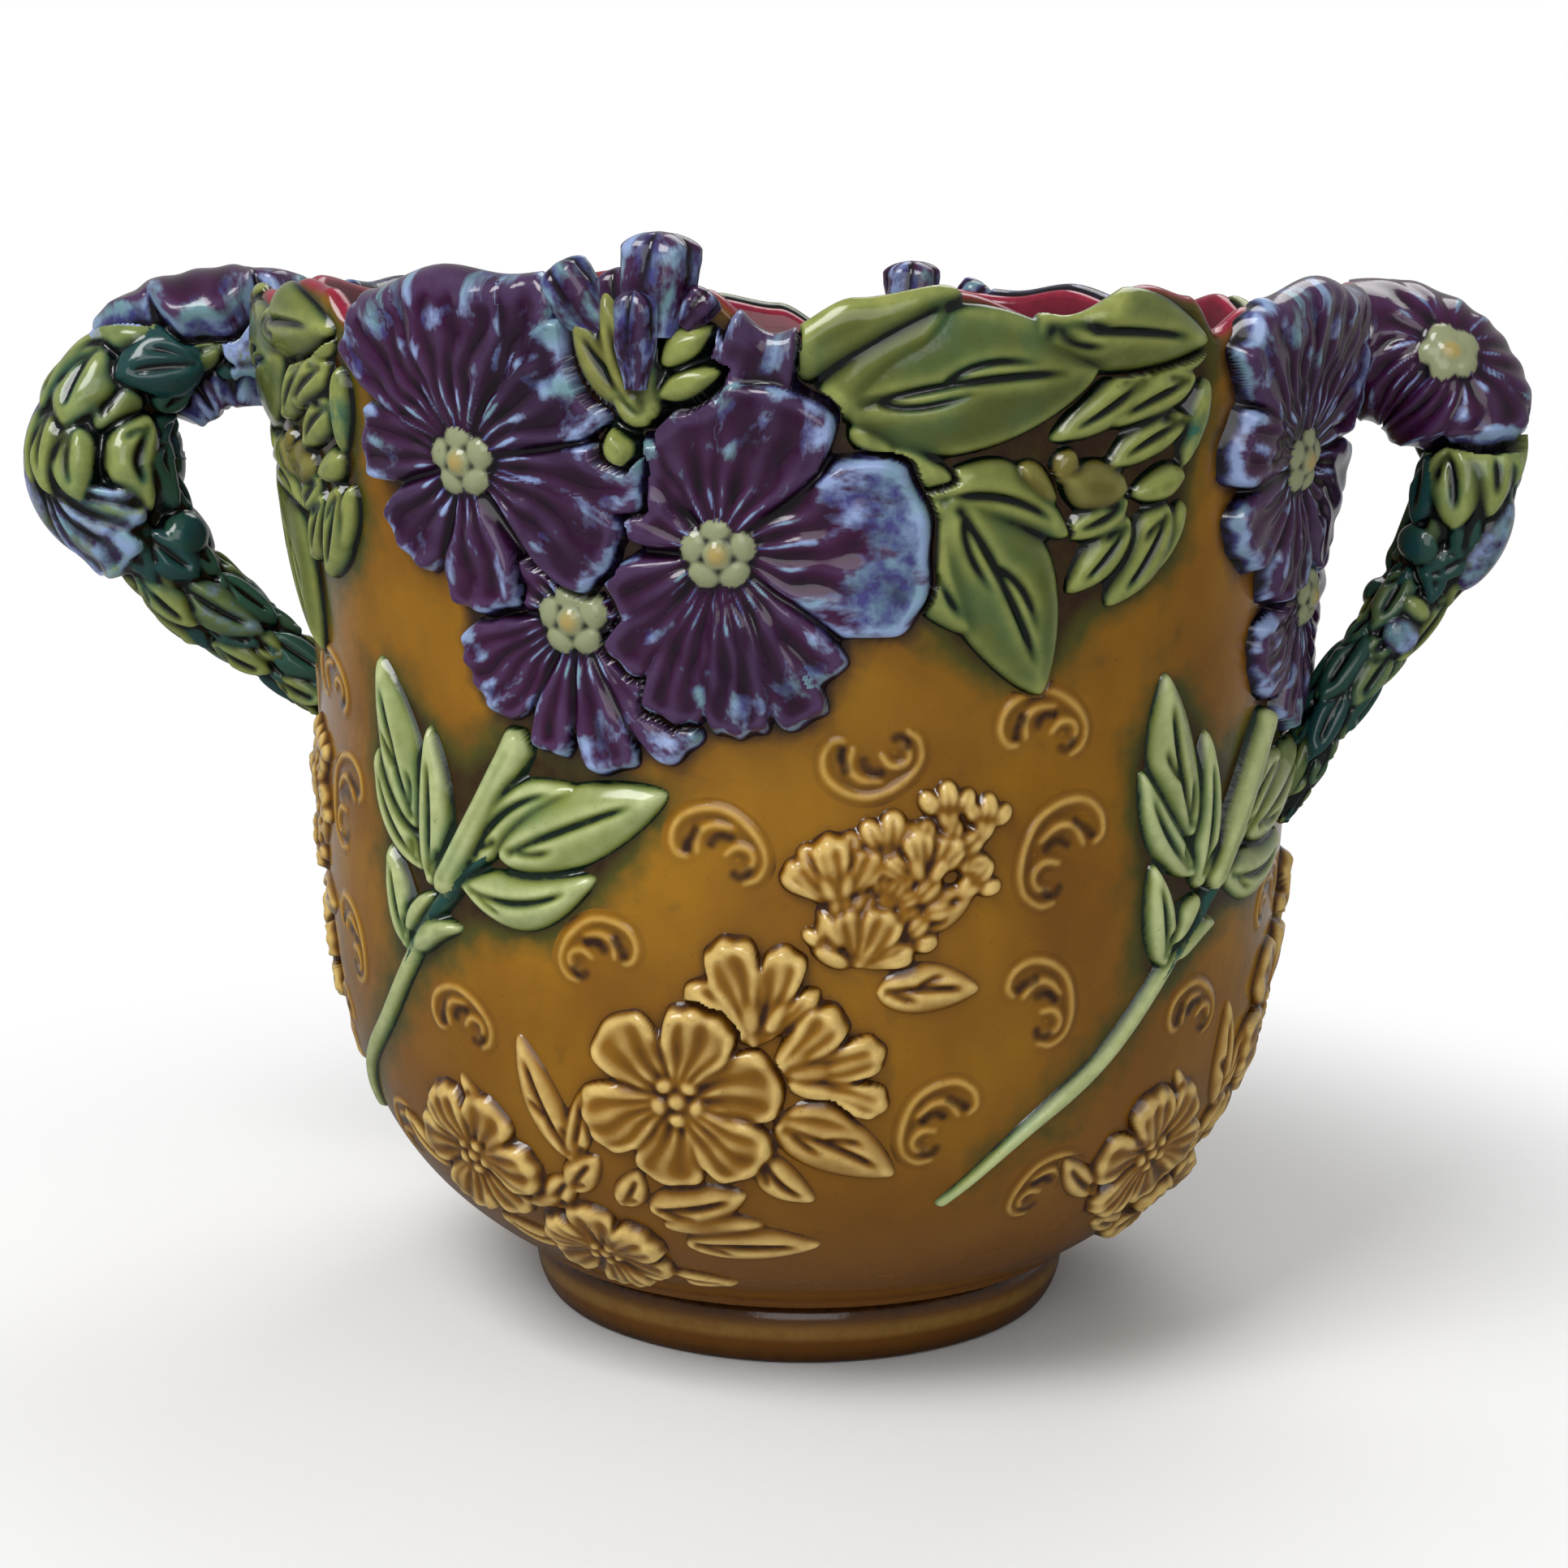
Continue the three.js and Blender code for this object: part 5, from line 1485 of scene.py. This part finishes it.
class JardiniereRimBuds(bpy.types.Operator):
    """Stand the clusters of buds on the rim"""

    bl_idname = "jardiniere.rim_buds"
    bl_label = "Rim buds"

    def execute(self, context):
        settings = settings_of(context)
        wall = wall_carrier(settings)
        for side in ("front", "back"):
            name = f"rim_buds_{side}"
            piece = relief_piece(wall, name, name + "_stalks")
            finish_piece(piece, glaze_for(settings, "olive"), "green_glaze", name)
            for number, (foot, tip, half, blue) in enumerate(RIM_BUDS, 1):
                bud = rim_bud(f"{name}_{number}", QUARTERS[side], foot, tip, half, blue)
                finish_piece(bud, glaze_for(settings, "aubergine"), "lilac_glaze")
        return {"FINISHED"}


def rim_bud(name, shift, foot, tip, half, blue):
    """One bud: a closed tube that widens to a blunt mouth with five folds."""
    ends = []
    for angle, height, off in (foot, tip):
        radius = float(wall_radius(min(height, RIM_HEIGHT))) + off
        ends.append(around(angle + shift, radius, height).astype(float))
    base, top = ends
    along = top - base
    length = np.linalg.norm(along)
    along /= length
    outward = around(foot[0] + shift, 1.0, 0.0).astype(float)
    across = np.cross(along, outward)
    across /= np.linalg.norm(across)
    outward = np.cross(across, along)
    share = np.linspace(0, 1, BUD_ROWS)[:, None]
    turn = np.linspace(0, 2 * math.pi, BUD_COLUMNS, endpoint=False)[None, :]
    swell = 0.5 + 0.5 * smoothstep(0, 0.6, share)
    swell = swell * np.sqrt(1 - ((share - 0.78) / 0.22).clip(0, 1) ** 2)
    swell = swell * (1 + 0.06 * np.sin(2 * turn + 9 * share))
    swell = np.clip(swell, 0.04, 1)
    folds = 0.5 + 0.5 * np.cos(5 * turn + 1.4 * share + shift)
    crease = 1 - 0.2 * (1 - folds**0.5) * smoothstep(0.2, 0.8, share)
    radius = half * swell * crease
    points = base + along * (length * share)[..., None]
    round_it = np.cos(turn)[..., None] * across + 0.75 * np.sin(turn)[..., None] * outward
    points = points + radius[..., None] * round_it
    masks = np.zeros((BUD_ROWS, BUD_COLUMNS, 4))
    masks[..., 0] = np.clip(1.4 * folds - 0.5, 0, 1) * 0.8
    masks[..., 1] = np.clip(1 - folds * 4, 0, 1) * smoothstep(0.25, 0.6, share)
    masks[..., 2] = blue
    brush = np.stack(np.broadcast_arrays(turn * half, share * length, half), -1)
    return new_mesh(
        name, points.reshape(-1, 3), ring_faces(BUD_ROWS, BUD_COLUMNS), masks.reshape(-1, 4),
        brush.reshape(-1, 3), ring_uvs(BUD_ROWS, BUD_COLUMNS),
    )


class JardiniereHandles(bpy.types.Operator):
    """Build both garland handles, each with its blossom"""

    bl_idname = "jardiniere.handles"
    bl_label = "Handles"

    def execute(self, context):
        settings = settings_of(context)
        for side in HANDLE_PATHS:
            handle = handle_carrier(side)
            turn, level = np.meshgrid(handle.turns, handle.levels)
            own = handle.pieces[f"handle_{side}"]
            marks = np.zeros(handle.shape + (MARKS,))
            marks[np.ix_(own[0], own[1])] = own[4]
            lift = np.zeros(handle.shape)
            lift[np.ix_(own[0], own[1])] = own[2]
            lift = np.maximum(np.where(lift < UNDERSIDE, 0, lift), 0)
            ends = np.minimum(handle.levels, handle.levels[::-1])
            closing = np.sqrt(1 - (1 - np.clip(ends / 4, 0, 1)) ** 2)[:, None]
            core = handle.radius[:, None]
            lift = (core + lift) * closing - core
            points = handle.place(turn, level, lift)
            # between the leaves the stalk is nearly black with glaze
            pool = np.maximum(handle.pool, 1 - smoothstep(0.02, 0.13, lift / handle.half[:, None]))
            masks = np.stack([handle.ridge, pool, marks[..., 0], marks[..., 1]], -1)
            rows, columns = handle.shape
            piece = new_mesh(
                f"handle_{side}_glazed", points.reshape(-1, 3), ring_faces(rows, columns),
                masks.reshape(-1, 4), marks[..., 3:].reshape(-1, 3), ring_uvs(rows, columns),
            )
            finish_piece(piece, glaze_for(settings, "garland"), "garland_glaze", f"handle_{side}")
            name = f"handle_blossom_{side}"
            blossom = relief_piece(handle, name, name + "_glazed")
            finish_piece(blossom, glaze_for(settings, "aubergine"), "purple_glaze", name)
        return {"FINISHED"}


# ---------------------------------------------------------------- stage
CAMERA_AZIMUTH = 8.0  # degrees from the front towards the right handle
CAMERA_DISTANCE = 0.660
CAMERA_HEIGHT = 0.2426
CAMERA_PITCH = 9.93
CAMERA_ROLL = 0.6
FOCAL_SHARE = 3300 / 1932  # focal length over the picture's width
AXIS_OFFSET = 25 / 1932  # how far right of the middle the pot's axis is, over the width
SENSOR_WIDTH = 36.0
TARGET_HEIGHT = 0.13  # the lamps point at the middle of the pot
FLOOR_HALF = 4.0
PAPER_GRAIN = 1 / 300  # metres: real paper is finer, but would not show
PAPER_SHADE = 0.985  # how pale the paper is in its grain's hollows
WHITE = (1.0, 1.0, 1.0, 1.0)
ROOM_STRENGTH = 0.3
# Lamps: name, azimuth, elevation, distance, size, share of the main lamp's strength
LAMPS = [
    ("Window light", -30, 48, 1.5, 0.7, 1.0),
    ("Room light", 8, 24, 1.7, 1.1, 0.45),
    ("Back light", 165, 55, 1.6, 0.9, 0.5),
]


class JardiniereStage(bpy.types.Operator):
    """Set the pale floor, the soft lamps and the camera"""

    bl_idname = "jardiniere.stage"
    bl_label = "Floor, light and camera"

    def execute(self, context):
        settings = settings_of(context)
        scene = context.scene
        add_floor(settings)
        add_world(scene)
        target = axis + Vector((0, 0, TARGET_HEIGHT))
        for name, azimuth, elevation, distance, size, share in LAMPS:
            lamp = bpy.data.lights.new(name, "AREA")
            lamp.energy = settings.lamp_strength * share
            lamp.size = size
            lamp_object = bpy.data.objects.new(name, lamp)
            turn, rise = math.radians(azimuth), math.radians(elevation)
            level = Vector((math.sin(turn), -math.cos(turn), 0)) * math.cos(rise)
            offset = level + Vector((0, 0, math.sin(rise)))
            lamp_object.location = target + offset * distance
            lamp_object.rotation_euler = offset.to_track_quat("Z", "Y").to_euler()
            context.collection.objects.link(lamp_object)
        add_camera(scene)
        scene.view_settings.view_transform = "Standard"
        return {"FINISHED"}


def backdrop_share(tree, vector, start, end, mirrored):
    """Where the white backdrop shows: all of it to the camera, and a share of it to mirrored
    rays, from start to end behind the pot."""
    path = add_node(tree, "ShaderNodeLightPath").outputs
    depth = add_node(tree, "ShaderNodeSeparateXYZ", {0: vector}, 1)
    behind = add_node(tree, "ShaderNodeMapRange", {0: depth, 1: start, 2: end, 4: mirrored}, 0)
    share = path["Is Glossy Ray"]
    for operation, value in (
        ("ADD", path["Is Transmission Ray"]), ("MULTIPLY", behind), ("ADD", path["Is Camera Ray"]),
    ):
        inputs = {0: share, 1: value}
        share = add_node(tree, "ShaderNodeMath", inputs, 0, operation=operation, use_clamp=True)
    return share


def add_floor(settings):
    corners = [(-1, -1, 0), (1, -1, 0), (1, 1, 0), (-1, 1, 0)]
    mesh = bpy.data.meshes.new("floor")
    mesh.from_pydata([Vector(corner) * FLOOR_HALF + axis for corner in corners], [], [(0, 1, 2, 3)])
    floor = bpy.data.objects.new("floor", mesh)
    bpy.context.collection.objects.link(floor)
    material = bpy.data.materials.new("Matt white paper sweep")
    material.use_nodes = True
    tree = material.node_tree
    tree.nodes.clear()
    where = add_node(tree, "ShaderNodeTexCoord", output="Object")
    grain = add_node(tree, "ShaderNodeTexNoise", {"Vector": where, "Scale": 1 / PAPER_GRAIN}, 0)
    light = (*settings.floor_colour, 1.0)
    shaded = (*(PAPER_SHADE * channel for channel in settings.floor_colour), 1.0)
    tone = add_node(tree, "ShaderNodeMix", {0: grain, 6: shaded, 7: light}, 2, data_type="RGBA")
    # the glaze would mirror a white floor all over, so mirrored rays see it grey
    mirrored = add_node(tree, "ShaderNodeLightPath", output="Is Glossy Ray")
    inputs = {0: mirrored, 6: tone, 7: linear("7a7a7a")}
    tone = add_node(tree, "ShaderNodeMix", inputs, 2, data_type="RGBA")
    paper = add_node(tree, "ShaderNodeBsdfPrincipled", {"Base Color": tone, "Roughness": 0.9}, 0)
    white = add_node(tree, "ShaderNodeEmission", {"Color": WHITE, "Strength": 1.0}, 0)
    # further from the pot the sweep is out of its shadow and goes over into the white backdrop
    far = add_node(tree, "ShaderNodeVectorMath", {0: where}, "Value", operation="LENGTH")
    inputs = {0: far, 1: 0.16, 2: 0.36}
    fade = add_node(tree, "ShaderNodeMapRange", inputs, 0, interpolation_type="SMOOTHSTEP")
    inputs = {0: fade, 1: backdrop_share(tree, where, 0.2, 0.5, 0.4)}
    share = add_node(tree, "ShaderNodeMath", inputs, 0, operation="MULTIPLY", use_clamp=True)
    blend = add_node(tree, "ShaderNodeMixShader", {0: share, 1: paper, 2: white}, 0)
    add_node(tree, "ShaderNodeOutputMaterial", {0: blend})
    mesh.materials.append(material)


def add_world(scene):
    world = bpy.data.worlds.new("White room")
    world.use_nodes = True
    tree = world.node_tree
    tree.nodes.clear()
    # the white backdrop hangs behind the pot, so the glaze mirrors it only at its sides
    way = add_node(tree, "ShaderNodeTexCoord", output="Generated")
    seen = backdrop_share(tree, way, 0.25, 0.6, 0.2)
    room = add_node(tree, "ShaderNodeBackground", {"Color": WHITE, "Strength": ROOM_STRENGTH}, 0)
    white = add_node(tree, "ShaderNodeBackground", {"Color": WHITE, "Strength": 1.0}, 0)
    blend = add_node(tree, "ShaderNodeMixShader", {0: seen, 1: room, 2: white}, 0)
    add_node(tree, "ShaderNodeOutputWorld", {0: blend})
    scene.world = world


def add_camera(scene):
    camera = bpy.data.cameras.new("Camera")
    camera.sensor_width = SENSOR_WIDTH
    camera.lens = SENSOR_WIDTH * FOCAL_SHARE
    camera.shift_x = -AXIS_OFFSET
    turn, pitch, roll = (math.radians(v) for v in (CAMERA_AZIMUTH, CAMERA_PITCH, CAMERA_ROLL))
    away = Vector((math.sin(turn), -math.cos(turn), 0))
    place = axis + away * CAMERA_DISTANCE + Vector((0, 0, CAMERA_HEIGHT))
    ahead = -away * math.cos(pitch) - Vector((0, 0, math.sin(pitch)))
    right = Vector((math.cos(turn), math.sin(turn), 0))
    up = right.cross(ahead)
    side = right * math.cos(roll) + up * math.sin(roll)
    top = up * math.cos(roll) - right * math.sin(roll)
    camera_object = bpy.data.objects.new("Camera", camera)
    turned = Matrix((side, top, -ahead)).transposed().to_4x4()
    camera_object.matrix_world = Matrix.Translation(place) @ turned
    bpy.context.collection.objects.link(camera_object)
    scene.camera = camera_object


# ---------------------------------------------------------------- panel
OPERATORS = (
    JardinierePot, JardiniereFoot, JardiniereHandles, JardiniereBlossoms, JardiniereRimBuds,
    JardiniereLeaves, JardiniereOchreRelief, JardiniereStage,
)


class JardinierePanel(bpy.types.Panel):
    """The jardiniere's pieces, one button each"""

    bl_idname = "VIEW3D_PT_jardiniere"
    bl_label = "Jardiniere"
    bl_space_type = "VIEW_3D"
    bl_region_type = "UI"
    bl_category = "Jardiniere"

    def draw(self, context):
        settings = settings_of(context)
        for name in settings.bl_rna.properties.keys():
            if name not in ("name", "rna_type"):
                self.layout.prop(settings, name)
        for operator in OPERATORS:
            self.layout.operator(operator.bl_idname)


CLASSES = (JardiniereSettings, *OPERATORS, JardinierePanel)


def register():
    for cls in CLASSES:
        bpy.utils.register_class(cls)
    bpy.types.Scene.jardiniere = PointerProperty(type=JardiniereSettings)


def unregister():
    del bpy.types.Scene.jardiniere
    for cls in reversed(CLASSES):
        bpy.utils.unregister_class(cls)


def main():
    register()
    for operator in OPERATORS:
        group, name = operator.bl_idname.split(".")
        getattr(getattr(bpy.ops, group), name)()
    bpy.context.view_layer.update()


if __name__ == "__main__":
    main()
